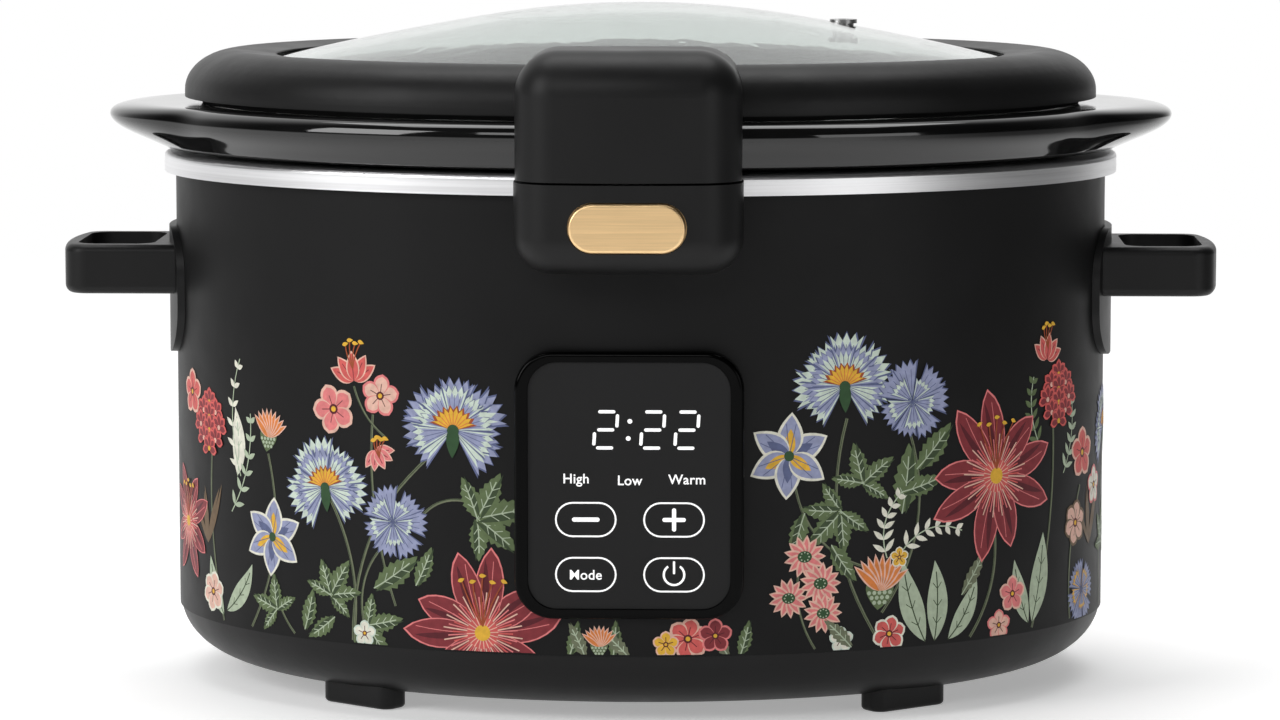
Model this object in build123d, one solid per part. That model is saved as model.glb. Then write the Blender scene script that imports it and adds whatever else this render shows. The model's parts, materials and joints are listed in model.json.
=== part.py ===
from build123d import *
import os

# Programmable oval slow cooker with a hinged, latching lid.  Millimetres.
# +Z is up, -Y is the front with the control panel, X runs along the handles.
# The origin is on the table, under the middle of the cooker.

# ---- Driving dimensions ------------------------------------------------------------------
# Every oval is a profile turned about Z in the depth direction and stretched along X.
WALL_HALF_WIDTH = 178.3
WALL_HALF_DEPTH = 134.0
STRETCH = WALL_HALF_WIDTH / WALL_HALF_DEPTH

WALL_SHEET = 0.8
WALL_LOW = 26.5
WALL_TOP = 193.4

PAN_FLOOR = 6.0
PAN_SHEET = 2.6
PAN_CORNER_MIDDLE = (127.6, 13.4)
PAN_FLAT_HALF_DEPTH = 112.0
PAN_EDGE_HALF_DEPTH = 133.5
PAN_UPSTAND = 8.0

BASE_SCREW_SPOTS = [(x, y) for x in (-60, 60) for y in (-62, 62)]
BASE_BOSS_TOP = 20.0
BASE_SCREW_SEAT = 12.0
BOARD_POSTS = [(x, y) for x in (-44, 44) for y in (-26, 26)]
BOARD_POST_TOP = 14.0
AIR_SLOT_X = 95.0
AIR_SLOT_ROWS = 6
AIR_SLOT_PITCH = 9.0
AIR_SLOT = (30.0, 3.0)

FOOT_LENGTH = 34.0
FOOT_DEPTH = 13.0
FOOT_HEIGHT = 16.0
FOOT_X = 100.0
FOOT_Y = 85.8
FOOT_TURN = 38.0
FOOT_ROUND = 5.0
FOOT_EDGE = 1.5

WELL_SHEET = 1.2
WELL_FLOOR = 48.0
WELL_LOW_HALF_DEPTH = 113.2
WELL_TOP_HALF_DEPTH = 123.2
WELL_WALL_LOW = 62.0
WELL_TOP = 199.8
CLAMP_Z = 89.0
BAND_HEIGHTS = (66.0, 112.0)
BAND_SHEET = 1.4
SLEEVE_HEIGHTS = (64.0, 150.0)
SLEEVE_GAP = 2.2
SLEEVE_THICKNESS = 2.6
BRIDGE_LOW = 44.4
BRIDGE_SHEET = 1.6
BRIDGE_ARM_LOW = 42.6
BRIDGE_HALF_WIDTH = 9.0
BRIDGE_HALF_LENGTH = 70.0
SHIELD_LOW = 33.0
SHIELD_SHEET = 0.8
SHIELD_HALF_DEPTH = 88.0
POWER_BOARD_LOW = 14.1
POWER_BOARD_TOP = 15.7
POWER_BOARD_HALF = (52.0, 34.0)
PARTS_LOW = POWER_BOARD_TOP + 0.2
SENSOR_Y = 26.0
FUSE_Y = 17.0
LEAD_RADIUS = 1.3
LEAD_LOW = 18.6

TRIM_HALF_DEPTH = 137.2
TRIM_LOW = 193.6
TRIM_TOP = 201.0
TRIM_SHEET = 0.7

CROCK_FLOOR = 49.7
CROCK_BOTTOM_THICKNESS = 8.3
CROCK_RIM_TOP = 219.4
CROCK_RIM_HALF_DEPTH = 140.0
CROCK_COLLAR_LOW = 202.2
CROCK_COLLAR_HALF_DEPTH = 136.4
CROCK_LUG_REACH = 202.3
CROCK_LUG_HALF_DEPTH = 46.0

LID_LOW = 221.9
LID_SHOULDER = 224.2
GASKET_LOW = CROCK_RIM_TOP + 0.3
LID_HALF_DEPTH = 131.2
LID_CREST = 239.6
LID_CREST_HALF_DEPTH = 116.5
LID_OPENING_HALF_DEPTH = 104.8
LID_SHEET = 2.6
LID_OUTER_ARC = (LID_HALF_DEPTH - 4.3, LID_CREST - 4.6)
RING_SCREW_COUNT = 8
RING_SCREW_HALF_DEPTH = 119.6
UNDER_RING_LOW = 228.4
UNDER_RING_TOP = 230.4
GLASS_TOP = 257.4
GLASS_THICKNESS = 3.0
GLASS_EDGE_HALF_DEPTH = 111.5
GLASS_RISE = 23.2
GLASS_SHOULDER = 45.0

FRONT_FACE = 164.0
BLOCK_SIDE_FACE = 159.0
BLOCK_SEAM = 200.0
BLOCK_SEAM_GAP = 0.8
UPPER_BLOCK_WIDTH = 81.0
UPPER_BLOCK_TOP = 246.5
UPPER_BLOCK_BACK = 104.0
LOWER_BLOCK_WIDTH = 82.0
LOWER_BLOCK_LOW = 167.0
BLOCK_CORNER = 17.0
UPPER_BLOCK_EDGE = 16.0
LOWER_BLOCK_EDGE = 13.0

BUTTON_WIDTH = 41.6
BUTTON_HEIGHT = 17.5
BUTTON_Z = 184.4
BUTTON_PROUD = 0.9

LATCH_CAVITY_LOW = 174.0
STRIKER_FRONT = 151.0
STRIKER_SHEET = 2.5
STRIKER_WIDTH = 18.0
STRIKER_LOW = 186.5
STRIKER_FOOT_Z = 228.0

PANEL_Z = 89.3
PANEL_OPENING = (77.0, 93.0, 10.0)
BUTTON_OPENING = (26.0, 12.0, 2.0)
BEZEL_WIDTH = 82.7
BEZEL_HEIGHT = 97.0
BEZEL_CORNER = 14.0
BEZEL_FACE = 138.4
LENS_WIDTH = 73.0
LENS_HEIGHT = 89.5
LENS_CORNER = 10.5
LENS_SINK = 0.9
LENS_THICKNESS = 2.0
LENS_BACK = BEZEL_FACE - LENS_SINK - LENS_THICKNESS
BOARD_BACK = 129.0
BOARD_FRONT = 130.6
KEY_SPOTS = [(x, z) for x in (-15.6, 16.2) for z in (-10.7, -30.7)]
BOARD_SCREW_SPOTS = [(x, z) for x in (-30, 30) for z in (-38, 38)]

HANDLE_REACH = 221.0
HANDLE_CORNER_REACH = 217.0
HANDLE_CORNER = 9.0
HANDLE_EDGE = 3.0
HANDLE_GAP = (185.0, 214.5)
HANDLE_GAP_DEPTH = 52.0
HANDLE_GAP_CORNER = 8.0
HANDLE_LOW = 147.5
HANDLE_TOP = 166.3
HANDLE_HALF_DEPTH = 32.0
PLATE_LOW = 124.4
PLATE_TOP = 172.6
PLATE_HALF_DEPTH = 36.0
PLATE_PROUD = 2.1

HINGE_Y = 155.0
HINGE_Z = 205.0
KNUCKLE_RADIUS = 7.0
HINGE_PIN_RADIUS = 2.5
HINGE_RUNNING_GAP = 0.05
BRACKET_HALF_WIDTH = 12.0
KNUCKLE_GAP = 0.4
HINGE_HALF_WIDTH = 26.0
TONGUE_HALF_WIDTH = 20.0
TONGUE_THICKNESS = 4.0
TONGUE_LOW = 163.0
TONGUE_GAP = 0.3
SOCKET_BACK = FRONT_FACE + BUTTON_PROUD
SOCKET_TOP = 192.0
SOCKET_LOW = 156.0

RIBBON_HALF_WIDTH = 9.0
RIBBON_SHEET = 0.4
RIBBON_FRONT = 123.6
RIBBON_DROP = 34.9
RIBBON_TOP = 70.0
RIBBON_TURN = 44.0

INLET_Z = 50.0
INLET_FLANGE = (54.0, 32.0, 6.0)
INLET_COLLAR = (44.0, 24.0, 3.0)
INLET_MOUTH = (36.0, 17.0, 4.0)
INLET_FACE = 137.6
INLET_PINS_X = (-8, 8)
INLET_PIN_RADIUS = 2.4
VENT_X = 78.0
VENT_Y = 6.0
VENT_RADIUS = 5.2
VENT_NECK = 4.0
VENT_BORE = 2.2
VENT_PROUD = 0.9

HANDLE_MIDDLE = (HANDLE_LOW + HANDLE_TOP) / 2
HANDLE_SCREWS_Y = (-14, 14)
LATCH_SCREWS_X = (-32, 32)
LATCH_SCREW_Z = 182.0
SOCKET_SCREWS_X = (-16, 16)
SOCKET_SCREW_Z = 174.0
INLET_SCREWS_X = (-23.5, 23.5)
ARM_SCREWS_X = (-14, 14)
ARM_SCREW_Y = 128.0
ARM_SCREW_SEAT = 237.2
ARM_TOP = 239.4
ARM_FRONT = 120.0
ARM_ROUND = 14.0
STRIKER_SCREWS_X = (-6, 6)
STRIKER_SCREW_Y = -155.8
SCREW_RADIUS = 1.6
SCREW_HEAD_RADIUS = 3.0
SCREW_HEAD_HEIGHT = 2.0
FIT = 0.15


# ---- Helpers -----------------------------------------------------------------------------
def oval(start, *steps):
    """Close a (half depth, height) profile, turn it about Z and stretch it along X.

    A step is a point, or a pair (point on the arc, end of the arc)."""
    edges = []
    here = start
    for step in steps + (start,):
        if isinstance(step[0], tuple):
            middle, there = step
            edges.append(Plane.XZ * ThreePointArc(here, middle, there))
        else:
            there = step
            edges.append(Plane.XZ * Line(here, there))
        here = there
    return scale(revolve(make_face(edges), Axis.Z, 360), by=(STRETCH, 1, 1))


def oval_disc(half_depth, low, top):
    """Solid oval slab with upright sides."""
    return Pos(0, 0, low) * extrude(Ellipse(half_depth * STRETCH, half_depth), amount=top - low)


def block(x_range, y_range, z_range):
    """Plain box between three pairs of limits."""
    size = [high - low for low, high in (x_range, y_range, z_range)]
    middle = [(high + low) / 2 for low, high in (x_range, y_range, z_range)]
    return Pos(*middle) * Box(*size)


def front_slab(width, height, corner, y_range, x=0.0, z=0.0):
    """Rounded rectangle seen from the front, between two Y values."""
    outline = Plane.XZ.offset(-y_range[1]) * RectangleRounded(width, height, corner)
    return Pos(x, 0, z) * extrude(outline, amount=y_range[1] - y_range[0])


def side_slab(depth, height, corner, x_range, z=0.0):
    """Rounded rectangle seen from the side, between two X values."""
    outline = Plane.YZ.offset(x_range[0]) * RectangleRounded(depth, height, corner)
    return Pos(0, 0, z) * extrude(outline, amount=x_range[1] - x_range[0])


def rod(start, end, radius):
    """Round rod from one point to another."""
    line = Vector(*end) - Vector(*start)
    return extrude(Plane(origin=start, z_dir=line) * Circle(radius), amount=line.length)


def screw(tip, head, radius=SCREW_RADIUS, head_radius=SCREW_HEAD_RADIUS):
    """Pan-head screw from its tip to the seat under its head."""
    along = (Vector(*head) - Vector(*tip)).normalized()
    seat = Vector(*head)
    crown = seat + along * SCREW_HEAD_HEIGHT
    return rod(tip, head, radius) + rod(tuple(seat), tuple(crown), head_radius)


def wall_half_depth(x, half_depth=WALL_HALF_DEPTH):
    """Y of an oval of this half depth, at a given X."""
    return half_depth * (1 - (x / (half_depth * STRETCH)) ** 2) ** 0.5


def well_half_depth(z):
    """Outer half depth of the tapered heating well at a height."""
    share = (z - WELL_WALL_LOW) / (WELL_TOP - WELL_WALL_LOW)
    return WELL_LOW_HALF_DEPTH + share * (WELL_TOP_HALF_DEPTH - WELL_LOW_HALF_DEPTH)


def mirrored_pair(piece):
    """The piece and its mirror image across the YZ plane, as separate solids."""
    return [piece, mirror(piece, about=Plane.YZ)]


def save(name, *pieces):
    """Write one named sub-part."""
    solids = [solid for piece in pieces for solid in piece.solids()]
    shape = solids[0] if len(solids) == 1 else Compound(children=solids)
    export_step(shape, f"parts/{name}.step")


# ---- Base housing ------------------------------------------------------------------------
def wall_solid(clearance=0.05):
    """Everything inside the outer wall, used to fit pieces against it."""
    return oval_disc(WALL_HALF_DEPTH + clearance, -20, 260)


def wall_openings():
    """Everything that is cut out of the side wall."""
    hole = SCREW_RADIUS + FIT
    near, far = WALL_HALF_DEPTH - 20, WALL_HALF_DEPTH + 10
    inlet_width, inlet_height, inlet_corner = INLET_COLLAR
    inlet = (inlet_width + 4 * FIT, inlet_height + 4 * FIT, inlet_corner)
    tools = [
        front_slab(*PANEL_OPENING, (-far, -near), z=PANEL_Z),
        front_slab(*BUTTON_OPENING, (-far, -near), z=BUTTON_Z),
        front_slab(*inlet, (near, far), z=INLET_Z),
    ]
    tools += [rod((x, near, SOCKET_SCREW_Z), (x, far, SOCKET_SCREW_Z), hole) for x in SOCKET_SCREWS_X]
    tools += [rod((x, -far, LATCH_SCREW_Z), (x, -near, LATCH_SCREW_Z), hole) for x in LATCH_SCREWS_X]
    tools += [rod((x, near, INLET_Z), (x, far, INLET_Z), hole) for x in INLET_SCREWS_X]
    near, far, z = WALL_HALF_WIDTH - 20, WALL_HALF_WIDTH + 10, HANDLE_MIDDLE
    for side in (-1, 1):
        tools += [rod((side * near, y, z), (side * far, y, z), hole) for y in HANDLE_SCREWS_Y]
    return tools


def housing_wrap():
    """Thin side wall.  It is cut while still round, then stretched into its oval."""
    height = WALL_TOP - WALL_LOW
    tube = Cylinder(WALL_HALF_DEPTH, height) - Cylinder(WALL_HALF_DEPTH - WALL_SHEET, height)
    tube = Pos(0, 0, WALL_LOW + height / 2) * tube
    for tool in wall_openings():
        tube -= scale(tool, by=(1 / STRETCH, 1, 1))
    return scale(tube, by=(STRETCH, 1, 1))


def pan_outside():
    """Solid outer form of the rounded base pan."""
    return oval(
        (0, PAN_FLOOR),
        (PAN_FLAT_HALF_DEPTH, PAN_FLOOR),
        (PAN_CORNER_MIDDLE, (PAN_EDGE_HALF_DEPTH, WALL_LOW - 0.1)),
        (0, WALL_LOW - 0.1),
    )


def base_pan():
    inner_edge = WALL_HALF_DEPTH - WALL_SHEET - 0.2
    upstand_top = WALL_LOW + PAN_UPSTAND
    middle_r, middle_z = PAN_CORNER_MIDDLE
    pan = oval(
        (0, PAN_FLOOR),
        (PAN_FLAT_HALF_DEPTH, PAN_FLOOR),
        (PAN_CORNER_MIDDLE, (PAN_EDGE_HALF_DEPTH, WALL_LOW - 0.1)),
        (inner_edge, WALL_LOW - 0.1),
        (inner_edge, upstand_top),
        (inner_edge - PAN_SHEET, upstand_top),
        (inner_edge - PAN_SHEET, WALL_LOW),
        ((middle_r - 2.0, middle_z + 1.8), (PAN_FLAT_HALF_DEPTH, PAN_FLOOR + PAN_SHEET)),
        (0, PAN_FLOOR + PAN_SHEET),
    )
    for x, y in BASE_SCREW_SPOTS:
        pan += rod((x, y, PAN_FLOOR), (x, y, BASE_BOSS_TOP), SCREW_HEAD_RADIUS + 2)
        pan -= rod((x, y, 0), (x, y, BASE_BOSS_TOP + 1), SCREW_RADIUS + FIT)
        pan -= rod((x, y, 0), (x, y, BASE_SCREW_SEAT), SCREW_HEAD_RADIUS + 0.5)
    slot = extrude(SlotOverall(*AIR_SLOT), amount=2 * PAN_SHEET, both=True)
    for x in (-AIR_SLOT_X, AIR_SLOT_X):
        for row in range(AIR_SLOT_ROWS):
            y = (row - (AIR_SLOT_ROWS - 1) / 2) * AIR_SLOT_PITCH
            pan -= Pos(x, y, PAN_FLOOR) * slot
    for x, y in BOARD_POSTS:
        pan += rod((x, y, PAN_FLOOR + 1), (x, y, BOARD_POST_TOP), SCREW_HEAD_RADIUS)
    return pan


def foot(x, y):
    """Moulded foot, turned to follow the oval and cut to sit against the rounded pan."""
    turn = FOOT_TURN if x * y < 0 else -FOOT_TURN
    pad = Pos(x, y, FOOT_HEIGHT / 2) * Rot(0, 0, turn) * Box(FOOT_LENGTH, FOOT_DEPTH, FOOT_HEIGHT)
    pad = fillet(pad.edges().filter_by(Axis.Z), FOOT_ROUND)
    pad = fillet(pad.faces().sort_by(Axis.Z)[0].edges(), FOOT_EDGE)
    return pad - pan_outside()


def heating_well():
    low_z = WELL_FLOOR
    inner = WELL_SHEET
    well = oval(
        (0, low_z),
        (WELL_LOW_HALF_DEPTH - 13, low_z),
        ((WELL_LOW_HALF_DEPTH - 4, low_z + 4.5), (WELL_LOW_HALF_DEPTH, WELL_WALL_LOW)),
        (WELL_TOP_HALF_DEPTH, WELL_TOP - inner),
        (TRIM_HALF_DEPTH - 2, WELL_TOP - inner),
        (TRIM_HALF_DEPTH - 2, WELL_TOP),
        (WELL_TOP_HALF_DEPTH - inner, WELL_TOP),
        (WELL_LOW_HALF_DEPTH - inner, WELL_WALL_LOW),
        ((WELL_LOW_HALF_DEPTH - 4.9, low_z + 5.4), (WELL_LOW_HALF_DEPTH - 13, low_z + inner)),
        (0, low_z + inner),
    )
    return well


def rim_trim():
    half, low, top, sheet = TRIM_HALF_DEPTH, TRIM_LOW, TRIM_TOP, TRIM_SHEET
    inside = WELL_TOP_HALF_DEPTH - WELL_SHEET
    return oval(
        (half - sheet, low),
        (half, low),
        (half, top - 1.6),
        ((half - 0.5, top - 0.45), (half - 1.6, top)),
        (inside, top),
        (inside, top - sheet),
        (half - 1.8, top - sheet),
        ((half - 1.0, top - 1.0), (half - sheet, top - 1.8)),
    )


def well_jacket(low, top, gap, thickness):
    """Sleeve that follows the taper of the well."""
    low_r = well_half_depth(low) + gap
    top_r = well_half_depth(top) + gap
    return oval((low_r, low), (low_r + thickness, low), (top_r + thickness, top), (top_r, top))


def heater_band():
    return well_jacket(*BAND_HEIGHTS, FIT, BAND_SHEET)


def insulation_sleeve():
    window = block((-24, 26), (WELL_LOW_HALF_DEPTH - 13, WALL_HALF_DEPTH), (CLAMP_Z - 13, CLAMP_Z + 13))
    return well_jacket(*SLEEVE_HEIGHTS, SLEEVE_GAP, SLEEVE_THICKNESS) - window


def band_clamp_screw():
    """Clamp strap and bolt that draw the heater band tight, at the rear."""
    y = well_half_depth(CLAMP_Z) + 7.0
    strap = block((-9, 9), (y - 4.6, y + 3.4), (CLAMP_Z - 6, CLAMP_Z + 6))
    strap -= block((-7, 7), (y - 3.4, y + 4), (CLAMP_Z - 7, CLAMP_Z + 7))
    shank = rod((-16, y, CLAMP_Z), (16, y, CLAMP_Z), 2.0)
    return strap + shank + rod((16, y, CLAMP_Z), (18.4, y, CLAMP_Z), 4.0)


def tie_bracket():
    """Pressed steel bridge under the well that the base screws pull against."""
    half, reach = BRIDGE_HALF_WIDTH, BRIDGE_HALF_LENGTH
    low, sheet = BRIDGE_ARM_LOW, BRIDGE_SHEET
    bridge = block((-reach, reach), (-half, half), (BRIDGE_LOW, BRIDGE_LOW + sheet))
    for x in (-60, 60):
        across = (x - half + 1, x + half - 1)
        bridge += block(across, (-reach, reach), (low, low + sheet))
        bridge += block(across, (-half, half), (low + 0.4, BRIDGE_LOW + 0.6))
    for x, y in BASE_SCREW_SPOTS:
        bridge += rod((x, y, BASE_BOSS_TOP + 0.4), (x, y, low + 0.4), SCREW_HEAD_RADIUS + 1.2)
        bridge -= rod((x, y, BASE_BOSS_TOP - 1), (x, y, SHIELD_LOW + 3), SCREW_RADIUS - 0.1)
    return bridge


def base_screws():
    tip, seat = SHIELD_LOW + 1, BASE_SCREW_SEAT
    return [screw((x, y, tip), (x, y, seat), SCREW_RADIUS - FIT) for x, y in BASE_SCREW_SPOTS]


def heat_shield():
    low, top = SHIELD_LOW, SHIELD_LOW + SHIELD_SHEET
    shield = oval_disc(SHIELD_HALF_DEPTH, low, top)
    shield -= block((-RIBBON_HALF_WIDTH - 3, RIBBON_HALF_WIDTH + 3), (-38, -31), (low - 3, top + 3))
    for x, y in BASE_SCREW_SPOTS:
        shield -= rod((x, y, low - 3), (x, y, top + 3), SCREW_HEAD_RADIUS + 2.5)
    return shield


def power_board():
    half_width, half_depth = POWER_BOARD_HALF
    low, top = POWER_BOARD_LOW, POWER_BOARD_TOP
    board = block((-half_width, half_width), (-half_depth, half_depth), (low, top))
    for x, y in BOARD_POSTS:
        board -= rod((x, y, low - 1), (x, y, top + 1), SCREW_RADIUS)
    return board


def relay():
    body = block((-38, -18), (-8, 8), (PARTS_LOW, PARTS_LOW + 14.6))
    return fillet(body.edges().filter_by(Axis.Z), 1.0)


def filter_capacitor():
    return fillet(block((-10, 8), (8, 16), (PARTS_LOW, PARTS_LOW + 13.1)).edges(), 1.2)


def terminal_block():
    top = PARTS_LOW + 12.1
    body = block((14, 38), (-24, -10), (PARTS_LOW, top))
    for way in range(4):
        x = 17 + way * 6
        body -= rod((x, -17, top - 6), (x, -17, top + 1), 1.8)
        body -= block((x - 1.6, x + 1.6), (-25, -18), (PARTS_LOW + 1.1, PARTS_LOW + 4.5))
    return body


def thermal_fuse():
    top = WELL_FLOOR - 0.2
    clip = block((18, 46), (FUSE_Y - 3, FUSE_Y + 3), (top - 1, top))
    return clip + rod((22, FUSE_Y, top - 3), (42, FUSE_Y, top - 3), 2.2)


def temperature_sensor():
    top = WELL_FLOOR - 0.2
    cup = rod((0, SENSOR_Y, top - 7.8), (0, SENSOR_Y, top), 7)
    flange = rod((0, SENSOR_Y, top - 1.2), (0, SENSOR_Y, top), 12)
    return cup + flange


# ---- Control panel -----------------------------------------------------------------------
def control_bezel():
    collar_back = -(WALL_HALF_DEPTH - 8)
    face = front_slab(BEZEL_WIDTH, BEZEL_HEIGHT, BEZEL_CORNER, (-BEZEL_FACE, -120), z=PANEL_Z)
    face = fillet(face.faces().sort_by(Axis.Y)[0].edges(), 1.6)
    face -= wall_solid()
    collar = front_slab(76, 92, 9.5, (-(BEZEL_FACE - 2.4), collar_back), z=PANEL_Z)
    bezel = face + collar
    recess = (-BEZEL_FACE - 1, -(BEZEL_FACE - LENS_SINK - LENS_THICKNESS))
    bezel -= front_slab(LENS_WIDTH + 0.3, LENS_HEIGHT + 0.3, LENS_CORNER, recess, z=PANEL_Z)
    bezel -= front_slab(LENS_WIDTH - 3, LENS_HEIGHT - 3, LENS_CORNER - 2, (-140, -100), z=PANEL_Z)
    return bezel


def touch_lens():
    front = BEZEL_FACE - LENS_SINK
    back = front - LENS_THICKNESS + 0.05
    return front_slab(LENS_WIDTH, LENS_HEIGHT, LENS_CORNER, (-front, -back), z=PANEL_Z)


def control_board():
    board = front_slab(67, 83, 8, (-BOARD_FRONT, -BOARD_BACK), z=PANEL_Z)
    for x, z in BOARD_SCREW_SPOTS:
        board -= rod((x, -140, PANEL_Z + z), (x, -120, PANEL_Z + z), SCREW_RADIUS + FIT)
    return board


def control_carrier():
    """Moulded tray behind the board, screwed to it and clipped into the bezel."""
    tray = front_slab(69, 85, 8, (-(BOARD_BACK - 0.2), -(BOARD_BACK - 5)), z=PANEL_Z)
    tray -= front_slab(58, 74, 4, (-(BOARD_BACK + 1), -(BOARD_BACK - 3.4)), z=PANEL_Z)
    tray -= front_slab(30, 20, 3, (-140, -110), z=PANEL_Z)
    for x, z in BOARD_SCREW_SPOTS:
        tray -= rod((x, -140, PANEL_Z + z), (x, -110, PANEL_Z + z), SCREW_RADIUS + FIT)
    return tray


def display_module():
    return front_slab(48, 19, 1.5, (-(LENS_BACK - 0.3), -(BOARD_FRONT + 0.1)), x=4, z=PANEL_Z + 21.8)


def touch_springs():
    """Contact springs between the touch keys and the board."""
    springs = []
    for x, z in KEY_SPOTS:
        low = (x, -(BOARD_FRONT + 0.1), PANEL_Z + z)
        high = (x, -(LENS_BACK - 0.3), PANEL_Z + z)
        springs.append(rod(low, high, 4.0) - rod(low, high, 3.2))
    return springs


def board_screws():
    screws = []
    for x, z in BOARD_SCREW_SPOTS:
        tip = (x, -(BOARD_BACK - 6), PANEL_Z + z)
        screws.append(screw(tip, (x, -(BOARD_FRONT + 0.1), PANEL_Z + z), head_radius=2.6))
    return screws


def display_ribbon():
    """Flat flex lead from the control board down to the power board."""
    across = (-RIBBON_HALF_WIDTH, RIBBON_HALF_WIDTH)
    front, rear, sheet, turn = -RIBBON_FRONT, -RIBBON_DROP, RIBBON_SHEET, RIBBON_TURN
    upper = block(across, (front, front + sheet), (turn, RIBBON_TOP))
    lower = block(across, (front, rear + sheet), (turn - sheet, turn))
    drop = block(across, (rear, rear + sheet), (PARTS_LOW + 0.6, turn))
    return upper + lower + drop


# ---- Handles -----------------------------------------------------------------------------
def right_handle():
    middle_z = (PLATE_LOW + PLATE_TOP) / 2
    plate = oval_disc(WALL_HALF_DEPTH + PLATE_PROUD, PLATE_LOW - 5, PLATE_TOP + 5)
    plate &= side_slab(2 * PLATE_HALF_DEPTH, PLATE_TOP - PLATE_LOW, 18, (150, 190), z=middle_z)
    corner, half, root = HANDLE_CORNER_REACH, HANDLE_HALF_DEPTH, WALL_HALF_WIDTH - 13
    bulge = ThreePointArc((corner, -half), (HANDLE_REACH, 0), (corner, half))
    outline = make_face(Polyline((corner, half), (root, half), (root, -half), (corner, -half)) + bulge)
    outline = fillet(outline.vertices().sort_by(Axis.X)[-2:], HANDLE_CORNER)
    loop = Pos(0, 0, HANDLE_LOW) * extrude(outline, amount=HANDLE_TOP - HANDLE_LOW)
    rims = loop.faces().sort_by(Axis.Z)[0].edges() + loop.faces().sort_by(Axis.Z)[-1].edges()
    loop = fillet([edge for edge in rims if edge.center().X > root + 1], HANDLE_EDGE)
    near, far = HANDLE_GAP
    gap = Pos((near + far) / 2, 0, HANDLE_MIDDLE) * extrude(
        RectangleRounded(far - near, HANDLE_GAP_DEPTH, HANDLE_GAP_CORNER),
        amount=HANDLE_TOP - HANDLE_LOW, both=True,
    )
    handle = plate + (loop - gap) - wall_solid()
    for y in HANDLE_SCREWS_Y:
        handle -= rod((root, y, HANDLE_MIDDLE), (near - 1.1, y, HANDLE_MIDDLE), SCREW_RADIUS - 0.2)
    return handle


def handle_screws():
    screws = []
    for side in (-1, 1):
        for y in HANDLE_SCREWS_Y:
            seat = (side * (WALL_HALF_WIDTH - 3.2), y, HANDLE_MIDDLE)
            tip = (side * (WALL_HALF_WIDTH + 5.2), y, HANDLE_MIDDLE)
            screws.append(screw(tip, seat, SCREW_RADIUS - 0.25))
    return screws


# ---- Latch -------------------------------------------------------------------------------
def block_outline(width):
    """Plan of the latch blocks: straight sides and a softly bowed front."""
    half = width / 2
    bow = ThreePointArc((-half, -BLOCK_SIDE_FACE), (0, -FRONT_FACE), (half, -BLOCK_SIDE_FACE))
    back = Polyline(
        (half, -BLOCK_SIDE_FACE), (half, -UPPER_BLOCK_BACK),
        (-half, -UPPER_BLOCK_BACK), (-half, -BLOCK_SIDE_FACE),
    )
    outline = make_face(bow + back)
    return fillet(outline.vertices().sort_by(Axis.Y)[:2], BLOCK_CORNER)


def latch_housing():
    """Lower block, fixed to the wall: holds the button and the catch."""
    top = BLOCK_SEAM - BLOCK_SEAM_GAP / 2
    outline = block_outline(LOWER_BLOCK_WIDTH)
    body = Pos(0, 0, LOWER_BLOCK_LOW) * extrude(outline, amount=top - LOWER_BLOCK_LOW)
    body = fillet(body.faces().sort_by(Axis.Z)[0].edges(), LOWER_BLOCK_EDGE)
    body = body - wall_solid() - oval_disc(TRIM_HALF_DEPTH + 0.2, WALL_TOP - 0.6, 260)
    body -= block((-24, 24), (-(FRONT_FACE - 3.7), -139.0), (LATCH_CAVITY_LOW, 197.0))
    button_hole = (BUTTON_WIDTH + 0.8, BUTTON_HEIGHT + 0.8, (BUTTON_HEIGHT + 0.7) / 2)
    body -= front_slab(*button_hole, (-180, -150), z=BUTTON_Z)
    slot_half = STRIKER_WIDTH / 2 + 1.0
    slot_front = STRIKER_FRONT + 1.8
    slot_back = STRIKER_FRONT - STRIKER_SHEET - 1.2
    body -= block((-slot_half, slot_half), (-slot_front, -slot_back), (190, 205))
    for x in LATCH_SCREWS_X:
        body -= rod((x, -120, LATCH_SCREW_Z), (x, -150, LATCH_SCREW_Z), SCREW_RADIUS - 0.2)
    return body


def latch_screws():
    seat = -(wall_half_depth(LATCH_SCREWS_X[1]) - 1.8)
    z = LATCH_SCREW_Z
    return [screw((x, -144, z), (x, seat, z), SCREW_RADIUS - 0.25) for x in LATCH_SCREWS_X]


def catch_spring():
    """Leaf spring whose nose sits in the striker's window."""
    low = LATCH_CAVITY_LOW + 0.2
    leaf = block((-7, 7), (-144.0, -143.4), (low, 195.5))
    foot_plate = block((-7, 7), (-144.0, -139.2), (low, low + 0.8))
    nose = extrude(
        Plane.YZ.offset(-5) * make_face(Polyline(
            (-143.6, 190.2), (-149.8, 190.2), (-149.8, 191.2), (-143.6, 194.6), (-143.6, 190.2),
        )),
        amount=10,
    )
    return leaf + foot_plate + nose


def release_button():
    front = FRONT_FACE + BUTTON_PROUD
    cap = front_slab(BUTTON_WIDTH, BUTTON_HEIGHT, BUTTON_HEIGHT / 2 - 0.05, (-front, -158.4), z=BUTTON_Z)
    cap = fillet(cap.faces().sort_by(Axis.Y)[0].edges(), 1.1)
    flange = front_slab(45.4, 20.2, 8, (-160.0, -158.4), z=BUTTON_Z)
    stem = block((-6, 6), (-158.6, -144.8), (176, 184.6))
    return cap + flange + stem


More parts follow.
